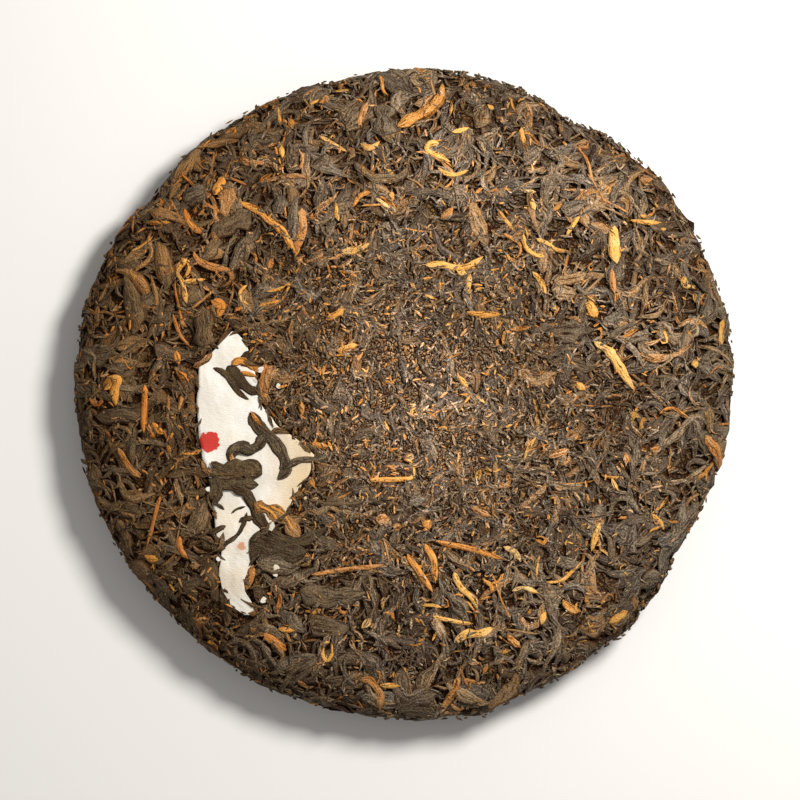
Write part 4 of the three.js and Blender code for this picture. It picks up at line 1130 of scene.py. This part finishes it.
    ("leaf", 2, 0.06, ((-50.6, -38.6), (-48.6, -36.8), (-46, -37.4))),
)

rng = np.random.default_rng(layout["seed"])
faceTops, faceLines = laySide("face", leafKinds, rng, placed=placedLeaves)
layRimBits(faceLines["fragment"])
backTops, backLines = laySide("back", backKinds, rng, back["coarse"])
topsOf = {"face": faceTops, "back": backTops}
laidCrumbs = {name: layCrumbs(side, topsOf[side], count, inner, reach, rng)
              for name, side, count, inner, reach in crumbs["sets"]}


# Leaf shapes by Geometry Nodes.

# The group's geometry goes in first. A whole number makes a whole-number input.
def startTree(name, inputs):
    tree = bpy.data.node_groups.new(name, "GeometryNodeTree")
    tree.interface.new_socket("Laid", in_out="INPUT", socket_type="NodeSocketGeometry")
    for label, value in inputs.items():
        kind = "NodeSocketInt" if isinstance(value, int) else "NodeSocketFloat"
        tree.interface.new_socket(label, in_out="INPUT", socket_type=kind).default_value = value
    tree.interface.new_socket("Made", in_out="OUTPUT", socket_type="NodeSocketGeometry")
    maker = NodeMaker(tree)
    return tree, maker, maker.node("NodeGroupInput")


def finishTree(maker, geometry, material):
    geometry = maker.node("GeometryNodeRealizeInstances", {}, {"Geometry": geometry})
    geometry = maker.node("GeometryNodeSetMaterial", {}, {"Geometry": geometry, "Material": material})
    maker.node("NodeGroupOutput", {}, {0: geometry})


def crumpled(maker, geometry, place, size, amount):
    rough = maker.noise(place, size, 2.0, 0.6).out("Color")
    return maker.moved(geometry, (rough - 0.5) * amount)


# Ridges are so many by the millimetre, their height is in millimetres, and crumples are so many by the metre.
# highlightStreak is how strong the painted highlight on a leaf's crests is
leafShapes = {
    "broadLeaf": {"sides": 12, "squareness": 0.5, "ridges": 1.5, "ridgeHeight": 0.42, "crumple": 0.16,
                  "crumpleSize": 330.0, "highlightStreak": 0.42, "wrinkle": 1.0, "roughness": 0.55},
    "longLeaf": {"sides": 8, "squareness": 0.65, "ridges": 1.6, "ridgeHeight": 0.36, "crumple": 0.22,
                 "crumpleSize": 480.0, "highlightStreak": 0.5, "wrinkle": 1.0, "roughness": 0.55},
    "leaf": {"sides": 6, "squareness": 0.75, "ridges": 1.7, "ridgeHeight": 0.3, "crumple": 0.28,
             "crumpleSize": 600.0, "highlightStreak": 0.62, "wrinkle": 1.0, "roughness": 0.58},
    "stem": {"sides": 7, "squareness": 1.0, "ridges": 1.6, "ridgeHeight": 0.08, "crumple": 0.12,
             "crumpleSize": 500.0, "highlightStreak": 0.25, "wrinkle": 0.6, "roughness": 0.6},
    "bud": {"sides": 7, "squareness": 0.9, "ridges": 1.8, "ridgeHeight": 0.2, "crumple": 0.3,
            "crumpleSize": 500.0, "highlightStreak": 0.3, "wrinkle": 0.8, "roughness": 0.65},
    "fragment": {"sides": 5, "squareness": 0.8, "ridges": 1.6, "ridgeHeight": 0.12, "crumple": 0.4,
                 "crumpleSize": 800.0, "highlightStreak": 0.75, "wrinkle": 0.9, "roughness": 0.6},
}
pieceNames = {"broadLeaf": "broad_leaves", "longLeaf": "long_leaves", "leaf": "small_leaves", "stem": "stems",
              "bud": "gold_buds", "fragment": "fragments"}
shapeInputs = {"sides": 8, "squareness": 0.7, "ridges": 1.2, "ridgeHeight": 0.3, "crumple": 0.3,
               "crumpleSize": 420.0}


# How ridges, fibres and blotches run in a leaf: its patterns are stretched along it.
grain = {
    "wander": 2.4,              # how far the ridges stray from the line of the leaf
    "wanderSize": 0.3,
    "ridgeStretch": 0.14,
    "ridgedSpan": (0.15, 0.6),  # half widths in millimetres, between which the ridges grow to their height
    "fibreSize": 3.1,
    "fibreTwist": 2.0,
    "fibreStretch": 0.3,
    "blotchSize": 0.3,
    # each pattern is read at its own distance from the leaf's seed
    "wanderSeed": 60.0,
    "fibreSeed": 7.3,
    "blotchSeed": 31.0,
}


# Where the ridge pattern is read. The shape and the colour both follow it, so grooves are low in the shape
# and carry painted shade in the colour.
def ridgePlace(maker, across, along, seed, twist):
    size = grain["wanderSize"]
    wander = maker.noise(maker.join(across * size, along * size, seed + grain["wanderSeed"]), 1.0, 1.0)
    return maker.join(across + along * twist + (wander - 0.5) * grain["wander"],
                      along * grain["ridgeStretch"], seed)


def leafShaper(name, material):
    tree, maker, given = startTree(name, shapeInputs)
    named = maker.named
    position = maker.node("GeometryNodeInputPosition")
    facing = named("leafNormal", "FLOAT_VECTOR")
    tangent = maker.node("GeometryNodeInputTangent")
    curve = maker.node("GeometryNodeMeshToCurve", {}, {"Mesh": given})
    curve = maker.node("GeometryNodeSetCurveNormal", {"mode": "FREE"}, {"Curve": curve, "Normal": facing})
    curve = maker.store(curve, "axis", position, "FLOAT_VECTOR")
    side = facing.maths("CROSS_PRODUCT", facing, tangent)
    curve = maker.store(curve, "side", side.maths("NORMALIZE", side), "FLOAT_VECTOR")
    travelled = maker.node("GeometryNodeSplineParameter", out="Length")
    curve = maker.store(curve, "leafAlong", travelled / millimetre)

    # the section is a roof: most of its points lie on the side that shows
    section = maker.node("GeometryNodeCurvePrimitiveCircle", {"mode": "RADIUS"},
                         {"Resolution": given.out("sides"), "Radius": 1.0})
    roofAngle = maker.node("GeometryNodeInputIndex") * math.pi / (given.out("sides") - 2.0)
    rise = roofAngle.maths("MAXIMUM", roofAngle.maths("SINE", roofAngle), 0.0) ** given.out("squareness")
    roof = maker.join(roofAngle.maths("COSINE", roofAngle), rise * 1.5 - 0.5, 0.0)
    section = maker.node("GeometryNodeSetPosition", {}, {"Geometry": section, "Position": roof})
    halfWidth = named("halfWidth")
    leaf = maker.node("GeometryNodeCurveToMesh", {}, {
        "Curve": curve, "Profile Curve": section, "Scale": halfWidth * millimetre, "Fill Caps": True})

    # pressed flat along the way that it faces
    off = position - named("axis", "FLOAT_VECTOR")
    height = off.maths("DOT_PRODUCT", off, facing).out("Value")
    leaf = maker.moved(leaf, facing * (height * (named("flatness") - 1.0)))
    across = off.maths("DOT_PRODUCT", off, named("side", "FLOAT_VECTOR")).out("Value")
    leaf = maker.store(leaf, "leafAcross", across / millimetre * named("widest") / halfWidth)
    leaf = maker.store(leaf, "leafEdge", across.maths("ABSOLUTE", across) / millimetre / halfWidth)

    # ridges run along it, because a leaf dries wrinkled and rolled up
    ridgesAcross = named("leafAcross") * given.out("ridges")
    ridgesAt = ridgePlace(maker, ridgesAcross, named("leafAlong"), named("leafSeed"), named("twist"))
    ridges = maker.noise(ridgesAt, 1.0, 1.0)
    raised = (ridges - 0.5) * maker.smoothStep(halfWidth, *grain["ridgedSpan"]) * given.out("ridgeHeight")
    leaf = maker.moved(leaf, facing * (raised * (2 * millimetre)))

    # crumpled a little, so that no two are alike
    amount = halfWidth * millimetre * given.out("crumple")
    leaf = crumpled(maker, leaf, position, given.out("crumpleSize"), amount)
    leaf = maker.node("GeometryNodeSetShadeSmooth", {}, {"Geometry": leaf, "Shade Smooth": True})
    finishTree(maker, leaf, material)
    return tree


# What only the tree needs is not kept in the finished mesh.
onlyForShaping = ("axis", "side", "leafNormal", "halfWidth", "flatness", "widest", "facing", "size", "spin",
                  "own")


def runNodes(name, source, tree, values={}):
    modifier = source.modifiers.new("shape", "NODES")
    modifier.node_group = tree
    for item in tree.interface.items_tree:
        if item.in_out == "INPUT" and item.name in values:
            modifier[item.identifier] = values[item.name]
    bpy.context.view_layer.update()
    evaluated = source.evaluated_get(bpy.context.evaluated_depsgraph_get())
    mesh = bpy.data.meshes.new_from_object(evaluated)
    for spare in onlyForShaping:
        if spare in mesh.attributes:
            mesh.attributes.remove(mesh.attributes[spare])
    places = np.empty(len(mesh.vertices) * 3, dtype=np.float32)
    mesh.vertices.foreach_get("co", places)
    places[2::3] = np.maximum(places[2::3], 0.0)    # the back rests flat
    mesh.vertices.foreach_set("co", places)
    made = addObject(name, mesh)
    bpy.data.objects.remove(source)
    return made


# Leaf finish.

leafFinish = {
    # from the darkest leaves to the palest buds
    "tones": ((0.0, linear(99, 88, 72)), (0.14, linear(129, 110, 82)), (0.3, linear(160, 128, 85)),
              (0.46, linear(188, 136, 78)), (0.6, linear(208, 137, 64)), (0.74, linear(230, 162, 77)),
              (0.87, linear(246, 189, 98)), (1.0, linear(253, 218, 148))),
    # painted highlights on the ridge crests, pale, and golden on gold leaves
    "crest": linear(253, 226, 188),
    "goldCrestHighlight": linear(254, 204, 122),
    "cool": linear(106, 107, 100),
    # the colour of painted shade: in grooves, along leaf rims and between the bits of the core
    "grooveShade": linear(50, 20, 1),
    # the colour of painted shade low down between the leaves
    "deep": linear(48, 26, 8),
    # how much of a pattern is the ridges, the fibres and the grit
    "crestOf": (0.3, 0.28, 0.42),
    "grooveOf": (0.4, 0.32, 0.28),
    "bumpOf": (0.8, 0.7, 0.9),
    "crestVary": (1.1, 0.5),        # the painted highlights on the crests are this much paler on a pale leaf, and this much at least
    "crestSpan": (0.48, 0.59),      # the part of the pattern that gets the painted highlight
    "grooveSpan": (0.38, 0.5),      # and the part that gets the painted shade in the grooves
    "edgeShadeSpan": (0.68, 0.98),       # the painted shade along a leaf's rim, from its middle line at 0 to its side at 1
    "deepShadeSpan": (-1.5, -0.4),       # heights from the cap, over which the painted shade between the leaves grows
    "coolSpan": (0.45, 1.0),        # the share of the dark leaves that is greyish
    "darkTone": (0.1, 0.35),
    "goldTone": (0.4, 0.7),
    "coolShare": 0.6,
    "grooveShare": 0.92,
    "grooveRough": 0.25,
    "edgeShadeShare": 0.85,
    "deepShadeShare": 0.6,
    "blotch": 0.4,
    "grit": 1900.0,
    "bump": 0.0007,
    "specular": 0.12,
    # painted light: warmer at the left, a little cooler at the right
    "leftPaintedLight": (0.86, 0.72, 0.58),
    "rightPaintedLight": (1.0, 0.98, 1.05),
    "tintSpan": (-0.085, 0.02),     # metres across the face
    "leftPlainer": 0.4,             # the painted highlights are weaker at the left
    # and the painted shade in the grooves is lighter there
    "leftShallower": 0.2,
}


# How far left a place lies, from 0 to 1.
def leftShare(maker):
    return 1.0 - maker.smoothStep(maker.split(maker.objectPlace()), *leafFinish["tintSpan"])


# Painted light and shade of the place, with a warmer painted light towards the left.
def shadeColour(maker, colour, left):
    shade = maker.attribute("shade")
    tint = maker.mixColour(left, leafFinish["rightPaintedLight"], leafFinish["leftPaintedLight"])
    colour = maker.mixColour(1.0, colour, maker.join(shade, shade, shade ** 1.1), "MULTIPLY")
    return maker.mixColour(1.0, colour, tint, "MULTIPLY")


def makeLeafMaterial(name, shape):
    material, maker = startMaterial(name)
    seed, along, across, twist, own = (maker.attribute(label) for label in
                                       ("leafSeed", "leafAlong", "leafAcross", "twist", "tone"))
    ridges = maker.noise(ridgePlace(maker, across * shape["ridges"], along, seed, twist), 1.0, 1.0)
    fibrePlace = maker.join(across * grain["fibreSize"] + along * twist * grain["fibreTwist"],
                            along * grain["fibreStretch"], seed + grain["fibreSeed"])
    fibres = maker.noise(fibrePlace, 1.0, 2.0, 0.6)
    size = grain["blotchSize"]
    blotchPlace = maker.join(across * size, along * size, seed + grain["blotchSeed"])
    blotches = maker.noise(blotchPlace, 1.0, 2.0, 0.6)
    grit = maker.noise(maker.objectPlace(), leafFinish["grit"], 2.0, 0.65)
    vary = maker.node("ShaderNodeTexWhiteNoise", {"noise_dimensions": "1D"}, {"W": seed})
    patterns = (ridges, fibres, grit)
    left = leftShare(maker)

    colour = maker.ramp(own + (blotches - 0.5) * leafFinish["blotch"], leafFinish["tones"])
    dark = 1.0 - maker.smoothStep(own, *leafFinish["darkTone"])
    cool = maker.smoothStep(vary, *leafFinish["coolSpan"]) * dark
    colour = maker.mixColour(cool * leafFinish["coolShare"], colour, leafFinish["cool"])

    # a painted highlight on the ridge crests, stronger on pale leaves
    gold = maker.smoothStep(own, *leafFinish["goldTone"])
    crestColour = maker.mixColour(gold, leafFinish["crest"], leafFinish["goldCrestHighlight"])
    crest = maker.smoothStep(blend(patterns, leafFinish["crestOf"]), *leafFinish["crestSpan"])
    plainer = 1.0 - left * leafFinish["leftPlainer"]
    more, least = leafFinish["crestVary"]
    paler = (own * more + least) * (vary * more + least) * plainer * shape["highlightStreak"]
    colour = maker.mixColour(crest * paler, colour, crestColour)
    colour = shadeColour(maker, colour, left)

    # painted shade on what lies low between the leaves
    deep = 1.0 - maker.smoothStep(maker.attribute("lift"), *leafFinish["deepShadeSpan"])
    colour = maker.mixColour(deep * leafFinish["deepShadeShare"], colour, leafFinish["deep"])
    # painted shade in the grooves between the ridges
    grooveShade = 1.0 - maker.smoothStep(blend(patterns, leafFinish["grooveOf"]), *leafFinish["grooveSpan"])
    grooveShadeMix = grooveShade * (leafFinish["grooveShare"] - left * leafFinish["leftShallower"])
    colour = maker.mixColour(grooveShadeMix, colour, leafFinish["grooveShade"])
    # painted shade along the leaf's rim
    edge = maker.smoothStep(maker.attribute("leafEdge"), *leafFinish["edgeShadeSpan"])
    colour = maker.mixColour(edge * leafFinish["edgeShadeShare"], colour, leafFinish["grooveShade"])
    bump = maker.bump(shape["wrinkle"], leafFinish["bump"], blend(patterns, leafFinish["bumpOf"]))
    rough = shape["roughness"] + grooveShade * leafFinish["grooveRough"]
    finishMaterial(maker, {"Base Color": colour, "Roughness": rough, "Normal": bump,
                           "Specular IOR Level": leafFinish["specular"]})
    return material


# Core and crumbs.

core = {
    "turns": 210,
    "start": 1.2,           # the first ring's distance from the middle
    "middleStep": 1.3,
    "step": 2.6,
    "relief": 0.4,
    "paperRelief": 0.2,
    "nearPaper": 1.5,       # this far round the paper it lies deeper
    "gapShade": 0.3,        # painted shade: how dark it is between the leaves of the face
    "backShade": 0.5,
    "middleShade": 0.75,
    "tone": (0.1, 0.3),
    "seed": 5,
}
dustFinish = {
    "bits": 820.0,
    "grit": 2300.0,
    "uneven": 0.0009,
    "unevenSize": 700.0,
    "ownTone": 0.4,
    "gritTone": 0.3,
    # the painted highlight on the grit, and the painted shade line between the bits
    "crestSpan": (0.54, 0.66),
    "crestShare": 0.7,
    "gapShadeSpan": (0.03, 0.22),
    "gapUneven": 0.2,
    "roughness": 0.75,
    "bump": 0.0006,
    "gapBump": 2.0,         # how much deeper the gaps are than the grit
}


# The core is pressed bits, each with its own colour, a painted highlight on its grit and a painted shade line
# round it.
def makeDustMaterial():
    material, maker = startMaterial("pressed_dust")
    place = maker.objectPlace()
    shift = maker.noise(place, dustFinish["unevenSize"], 1.0).out("Color")
    bits = {"Vector": place + (shift - 0.5) * dustFinish["uneven"], "Scale": dustFinish["bits"]}
    ownColour = maker.node("ShaderNodeTexVoronoi", {"feature": "F1"}, bits, out="Color")
    ownTone = maker.node("ShaderNodeSeparateColor", {}, {"Color": ownColour})
    edge = maker.node("ShaderNodeTexVoronoi", {"feature": "DISTANCE_TO_EDGE"}, bits)
    grit = maker.noise(place, dustFinish["grit"], 2.0, 0.6)
    tone = maker.attribute("tone") + (ownTone - 0.5) * dustFinish["ownTone"]
    colour = maker.ramp(tone + (grit - 0.5) * dustFinish["gritTone"], leafFinish["tones"])
    crest = maker.smoothStep(grit, *dustFinish["crestSpan"])
    colour = maker.mixColour(crest * dustFinish["crestShare"], colour, leafFinish["crest"])
    colour = shadeColour(maker, colour, leftShare(maker))
    # painted shade in the cracks between the bits
    gap = 1.0 - maker.smoothStep(edge + (grit - 0.5) * dustFinish["gapUneven"], *dustFinish["gapShadeSpan"])
    colour = maker.mixColour(gap, colour, leafFinish["grooveShade"])
    uneven = edge * dustFinish["gapBump"] + grit
    finishMaterial(maker, {"Base Color": colour, "Roughness": dustFinish["roughness"],
                           "Normal": maker.bump(1.0, dustFinish["bump"], uneven),
                           "Specular IOR Level": leafFinish["specular"]})
    return material


def makeCore(material):
    rng = np.random.default_rng(core["seed"])
    turns, change, last = core["turns"], layout["middleBy"], wholeLength - core["start"]
    outer = np.linspace(change, last, int((last - change) / core["step"]))
    alongs = np.concatenate((np.arange(core["start"], change, core["middleStep"]), outer))
    along, angle = np.meshgrid(alongs, np.arange(turns) / turns * 2 * math.pi, indexing="ij")
    inMiddle = middleShare(along)
    lift = -layout["coreDepth"] + (layout["coreDepth"] - layout["middleDepth"]) * inMiddle
    lift -= core["relief"] * (0.3 + rng.random(along.shape))
    smoothSpot, _ = bodyPoint(along, angle, np.zeros_like(along))
    nearPaper = (outsideSlip(smoothSpot) < core["nearPaper"]) & (along < rimAlong)
    deep = -layout["slipCoreDepth"] - core["paperRelief"] * rng.random(along.shape)
    points, _ = bodyPoint(along, angle, np.where(nearPaper, deep, lift))
    ends, _ = bodyPoint(np.array((0.0, wholeLength)), np.zeros(2),
                        -np.array((layout["middleDepth"] + core["relief"], layout["coreDepth"])))
    ends[:, :2] = 0.0
    points = np.concatenate((points.reshape(-1, 3), ends))

    faces = []
    firstEnd, lastEnd, lastRing = len(points) - 2, len(points) - 1, (len(alongs) - 1) * turns
    for row in range(len(alongs) - 1):
        for column in range(turns):
            after = (column + 1) % turns
            faces.append((row * turns + column, (row + 1) * turns + column,
                          (row + 1) * turns + after, row * turns + after))
    for column in range(turns):
        after = (column + 1) % turns
        faces.append((firstEnd, column, after))
        faces.append((lastEnd, lastRing + after, lastRing + column))

    # painted shade: the core is dark between the leaves of the face, less so on the back and in the middle
    dark = np.append(np.where(along < rimAlong, core["gapShade"], core["backShade"]),
                     (core["gapShade"], core["backShade"]))
    dark += (core["middleShade"] - dark) * np.append(inMiddle, (1.0, 0.0))
    return makeObject("pressed_core", points, [], faces, material=material, smoothed=True, columns={
        "tone": between(core["tone"], rng, size=len(points)), "shade": placeShade(points) * dark})


def crumbScatter(name, material):
    tree, maker, given = startTree(name, {"crumple": 0.5, "crumpleSize": 900.0})
    position = maker.node("GeometryNodeInputPosition")
    size = maker.named("size", "FLOAT_VECTOR")
    crumb = maker.node("GeometryNodeMeshIcoSphere", {}, {"Radius": millimetre, "Subdivisions": 1})
    crumb = maker.store(crumb, "own", position / millimetre, "FLOAT_VECTOR")
    spin = maker.join(0.0, 0.0, maker.named("spin"))
    turned = maker.node("FunctionNodeAlignRotationToVector", {"axis": "Z"},
                        {"Rotation": spin, "Vector": maker.named("facing", "FLOAT_VECTOR")})
    placed = maker.node("GeometryNodeInstanceOnPoints", {}, {
        "Points": given, "Instance": crumb, "Rotation": turned, "Scale": size})
    placed = maker.node("GeometryNodeRealizeInstances", {}, {"Geometry": placed})
    inside = maker.split(maker.named("own", "FLOAT_VECTOR") * size)
    placed = maker.store(placed, "leafAlong", inside)
    placed = maker.store(placed, "leafAcross", inside.out("Y"))
    placed = crumpled(maker, placed, position, given.out("crumpleSize"), given.out("crumple") * millimetre)
    finishTree(maker, placed, material)
    return tree


# Paper slip.

slipFinish = {
    "paper": linear(243, 242, 239),
    "stain": linear(234, 216, 184),
    # painted shade along the folds of the paper
    "foldShade": linear(196, 182, 156),
    "creamy": linear(216, 186, 134),
    # the sizes of the patterns, so many by the metre, and their spans that are coloured
    "spreadSize": 60.0,
    "fibreSize": 900.0,
    "foldSize": 170.0,
    "raggedSize": 420.0,
    "fibreStretch": (1.0, 3.0, 1.0),
    "foldStretch": (1.0, 0.5, 1.0),
    "stainSpan": (0.5, 0.7),
    "foldSpan": (0.42, 0.62),
    "creamySpan": (-0.046, -0.030),     # metres across, where the right part is creamier
    "stainShare": 0.45,
    "foldShare": 0.25,
    "creamyShare": 0.7,
    # place and size in millimetres, how uneven the rim is, how strong the colour is, and the colour
    "spots": ((-50.0, -46.0, 1.3, 2.4, 0.7, linear(206, 118, 52)),
              (-59.6, -14.2, 3.3, 4.0, 0.96, linear(204, 40, 24))),
    "spotRim": 0.4,
    "roughness": 0.9,
    "specular": 0.15,
    "bump": 0.0004,
}


def makeSlipMaterial():
    material, maker = startMaterial("slip_paper")
    place = maker.objectPlace()
    spread = maker.noise(place, slipFinish["spreadSize"], 3.0, 0.6)
    fibres = maker.noise(place * slipFinish["fibreStretch"], slipFinish["fibreSize"], 3.0, 0.7)
    stain = maker.smoothStep(spread, *slipFinish["stainSpan"])
    colour = maker.mixColour(stain * slipFinish["stainShare"], slipFinish["paper"], slipFinish["stain"])
    # painted shade along the folds of the paper
    folds = maker.noise(place * slipFinish["foldStretch"], slipFinish["foldSize"])
    foldShade = 1.0 - maker.smoothStep(folds, *slipFinish["foldSpan"])
    colour = maker.mixColour(foldShade * slipFinish["foldShare"], colour, slipFinish["foldShade"])
    creamy = maker.smoothStep(maker.split(place), *slipFinish["creamySpan"])
    colour = maker.mixColour(creamy * slipFinish["creamyShare"], colour, slipFinish["creamy"])
    ragged = maker.noise(place, slipFinish["raggedSize"], 2.0, 0.6)
    for x, y, radius, uneven, share, spotColour in slipFinish["spots"]:
        away = (place - (x * millimetre, y * millimetre, 0.0)) * (1.0, 1.0, 0.0)
        far = away.maths("LENGTH", away).out("Value") + (ragged - 0.5) * uneven * millimetre
        rimStart = (radius - slipFinish["spotRim"]) * millimetre
        inside = 1.0 - maker.smoothStep(far, rimStart, radius * millimetre)
        colour = maker.mixColour(inside * share, colour, spotColour)
    finishMaterial(maker, {"Base Color": colour, "Roughness": slipFinish["roughness"],
                           "Normal": maker.bump(0.6, slipFinish["bump"], fibres + spread * 2.0),
                           "Specular IOR Level": slipFinish["specular"]})
    return material


def makeSlip(material):
    rng = np.random.default_rng(slip["seed"])
    rows = np.array(slip["rows"])
    columns, count = slip["columns"], int((rows[0, 0] - rows[-1, 0]) / slip["rowStep"])
    y = np.linspace(rows[0, 0], rows[-1, 0], count)
    knots = np.arange(0, count + slip["tearKnots"], slip["tearKnots"])
    tears = []
    for _ in range(2):
        coarse = np.interp(np.arange(count), knots, rng.normal(size=len(knots)))
        fine = rng.normal(size=count)
        tears.append(slip["tear"] * (slip["tearCoarse"] * coarse + slip["tearFine"] * fine))
    left = np.interp(y, rows[::-1, 0], rows[::-1, 1]) + tears[0] * slip["leftTear"]
    right = np.interp(y, rows[::-1, 0], rows[::-1, 2]) + tears[1]
    right = np.maximum(right, left + slip["leastWidth"])
    x = left[:, None] + (right - left)[:, None] * np.linspace(0, 1, columns)[None, :]
    y = np.repeat(y[:, None], columns, axis=1)
    surface = smoothPoint("face", flatPlace(np.stack((x, y), axis=-1)))
    crinkle = slip["crinkle"] * np.sin(x * 1.9 + 3 * np.sin(y * 0.5)) * np.cos(y * 1.3 + x * 0.4)
    z = surface[..., 2] - slip["drop"] + slipWave(x, y) + crinkle
    upper = np.stack((x, y, z), axis=-1).reshape(-1, 3)
    lower = upper - up * slip["thickness"]
    under = len(upper)
    faces = []

    def closeSide(a, b):
        faces.append((a, under + a, under + b, b))

    for row in range(count - 1):
        for column in range(columns - 1):
            a, b = row * columns + column, (row + 1) * columns + column
            faces.append((a, b, b + 1, a + 1))
            faces.append((under + a, under + a + 1, under + b + 1, under + b))
        closeSide(row * columns, (row + 1) * columns)
        closeSide((row + 2) * columns - 1, (row + 1) * columns - 1)
    for column in range(columns - 1):
        closeSide(column + 1, column)
        closeSide((count - 1) * columns + column, (count - 1) * columns + column + 1)
    points = np.concatenate((upper, lower))
    return makeObject("torn_slip", points, [], faces, material=material, smoothed=True)


# Small bits of the same paper that lie among the leaves.
flecks = {
    # x, y and size
    "places": ((-39.2, -52.4, 2.0), (-39.4, -54.4, 1.7), (-43.2, -62.4, 2.0), (-30.4, -31.2, 1.0),
               (-38.5, 2.9, 1.5), (-40.9, -39.7, 3.2), (-43.9, 8.0, 1.9), (-45.8, 4.4, 1.9),
               (-59.8, -28.4, 1.6), (-56.8, -49.8, 1.5)),
    "corners": 9,
    "thickness": 0.3,
    "cornerStray": 0.35,
    "leastReach": 0.75,     # of half its size, and how much more at most
    "moreReach": 0.5,
    "tilt": 0.15,
    "lift": 0.12,           # above what it lies on
    "dome": 0.06,
    "seed": 11,
}


def makeFlecks(material):
    rng = np.random.default_rng(flecks["seed"])
    corners = flecks["corners"]
    vertices, faces = [], []
    for x, y, size in flecks["places"]:
        stray = flecks["cornerStray"] * rng.random(corners)
        turn = np.sort((np.arange(corners) + stray) / corners * 2 * math.pi)
        reach = size / 2 * (flecks["leastReach"] + flecks["moreReach"] * rng.random(corners))
        rim = np.stack((x + reach * np.cos(turn), y + reach * np.sin(turn)), axis=-1)
        flat = flatPlace(np.concatenate((((x, y),), rim)))
        surface, _ = sidePoint("face", flat, np.full(len(flat), np.median(topsAt(faceTops, flat))))
        tilt = flecks["tilt"] * rng.normal() * (surface[:, 0] - x)
        tilt = tilt + flecks["tilt"] * rng.normal() * (surface[:, 1] - y)
        surface[:, 2] += tilt + flecks["lift"]
        surface[0, 2] += flecks["dome"]
        first, under = len(vertices), len(vertices) + corners + 1
        vertices.extend(surface)
        vertices.extend(surface - up * flecks["thickness"])
        for corner in range(corners):
            a, b = 1 + corner, 1 + (corner + 1) % corners
            faces.append((first, first + a, first + b))
            faces.append((under, under + b, under + a))
            faces.append((first + a, under + a, under + b, first + b))
    return makeObject("paper_flecks", vertices, [], faces, material=material)


# Making the pieces.

pieces = []


def addPiece(piece):
    pieces.append(piece)
    triangles = sum(len(face.vertices) - 2 for face in piece.data.polygons)
    print("made", piece.name, "with", triangles, "triangles")


for side, allLines in (("face", faceLines), ("back", backLines)):
    for name, lines in allLines.items():
        laid = len(lines.leaves)
        lines.dropCovered(topsOf[side])
        print("laid on the", side, name, laid, "of which", len(lines.leaves), "show")
        label = side + "_" + pieceNames[name]
        shape = leafShapes[name]
        values = {size: shape[size] for size in shapeInputs}
        if side == "back":
            values["sides"] -= back["fewerSides"][name]
        tree = leafShaper(label, makeLeafMaterial(label, shape))
        addPiece(runNodes(label, lines.toObject(label + "_lines"), tree, values))

addPiece(makeCore(makeDustMaterial()))
crumbFinish = makeLeafMaterial("crumb", {"ridges": 1.5, "highlightStreak": 0.8, "wrinkle": 1.0, "roughness": 0.65})
for label, (points, columns) in laidCrumbs.items():
    places = makeObject(label + "_places", points, columns=columns)
    addPiece(runNodes(label, places, crumbScatter(label, crumbFinish)))
paper = makeSlipMaterial()
paperPieces = (makeSlip(paper), makeFlecks(paper))
print("made the slip and its flecks")

for piece in pieces:
    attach(piece, "root")
    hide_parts("tea_cake")
for piece in paperPieces:
    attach(piece, "root")
    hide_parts("paper_slip")


# Studio.

studio = {
    "floorSize": 4000.0,        # millimetres
    "floorColour": linear(237, 239, 243),
    "floorRoughness": 0.8,
    "cameraHeight": 1.25,
    "pixelsPerMetre": 3250.0,
    "imageSide": 800.0,
    "middle": (405.0, 395.5),   # where the cake's middle shows in the image
    "world": 0.29,
    "worldColour": (1.0, 0.95, 0.87),
    # place, aim, size, power, colour
    "lights": {"key": ((0.36, 0.3, 0.55), (0.02, 0.01, 0.02), 0.22, 6.6, (1.0, 0.94, 0.85)),
               "fill": ((-0.9, -0.2, 0.9), (0, 0, 0.02), 1.2, 0.9, (1.0, 0.92, 0.82))},
}


def makeFloor():
    half = studio["floorSize"] / 2
    corners = [(-half, -half, 0), (half, -half, 0), (half, half, 0), (-half, half, 0)]
    material, maker = startMaterial("pale_floor")
    finishMaterial(maker, {"Base Color": studio["floorColour"], "Roughness": studio["floorRoughness"]})
    floor = makeObject("floor", corners, [], [(0, 1, 2, 3)], material=material)


def addLight(name, place, aim, size, power, colour):
    light = bpy.data.lights.new(name, "AREA")
    light.shape = "DISK"
    light.size = size
    light.energy = power
    light.color = colour
    made = addObject(name, light)
    x, y, z = np.array(aim) - np.array(place)
    made.location = place
    made.rotation_euler = (math.atan2(math.hypot(x, y), -z), 0.0, math.atan2(y, x) - math.pi / 2)


def makeStudio():
    makeFloor()
    for name, light in studio["lights"].items():
        addLight(name, *light)
    world = bpy.data.worlds.new("studio")
    world.use_nodes = True
    maker = NodeMaker(world.node_tree)
    world.node_tree.nodes.clear()
    shade = maker.node("ShaderNodeBackground", {},
                       {"Color": studio["worldColour"], "Strength": studio["world"]})
    maker.node("ShaderNodeOutputWorld", {}, {"Surface": shade})
    bpy.context.scene.world = world
    bpy.context.scene.view_settings.view_transform = "Standard"
    camera = bpy.data.cameras.new("camera")
    distance = studio["cameraHeight"] - body["rimHeight"] * millimetre
    camera.lens = studio["pixelsPerMetre"] * distance * camera.sensor_width / studio["imageSide"]
    camera.clip_end = 10.0
    made = addObject("camera", camera)
    centre = studio["imageSide"] / 2
    made.location = ((centre - studio["middle"][0]) / studio["pixelsPerMetre"],
                     (studio["middle"][1] - centre) / studio["pixelsPerMetre"], studio["cameraHeight"])
    bpy.context.scene.camera = made


makeStudio()
print("made the studio")
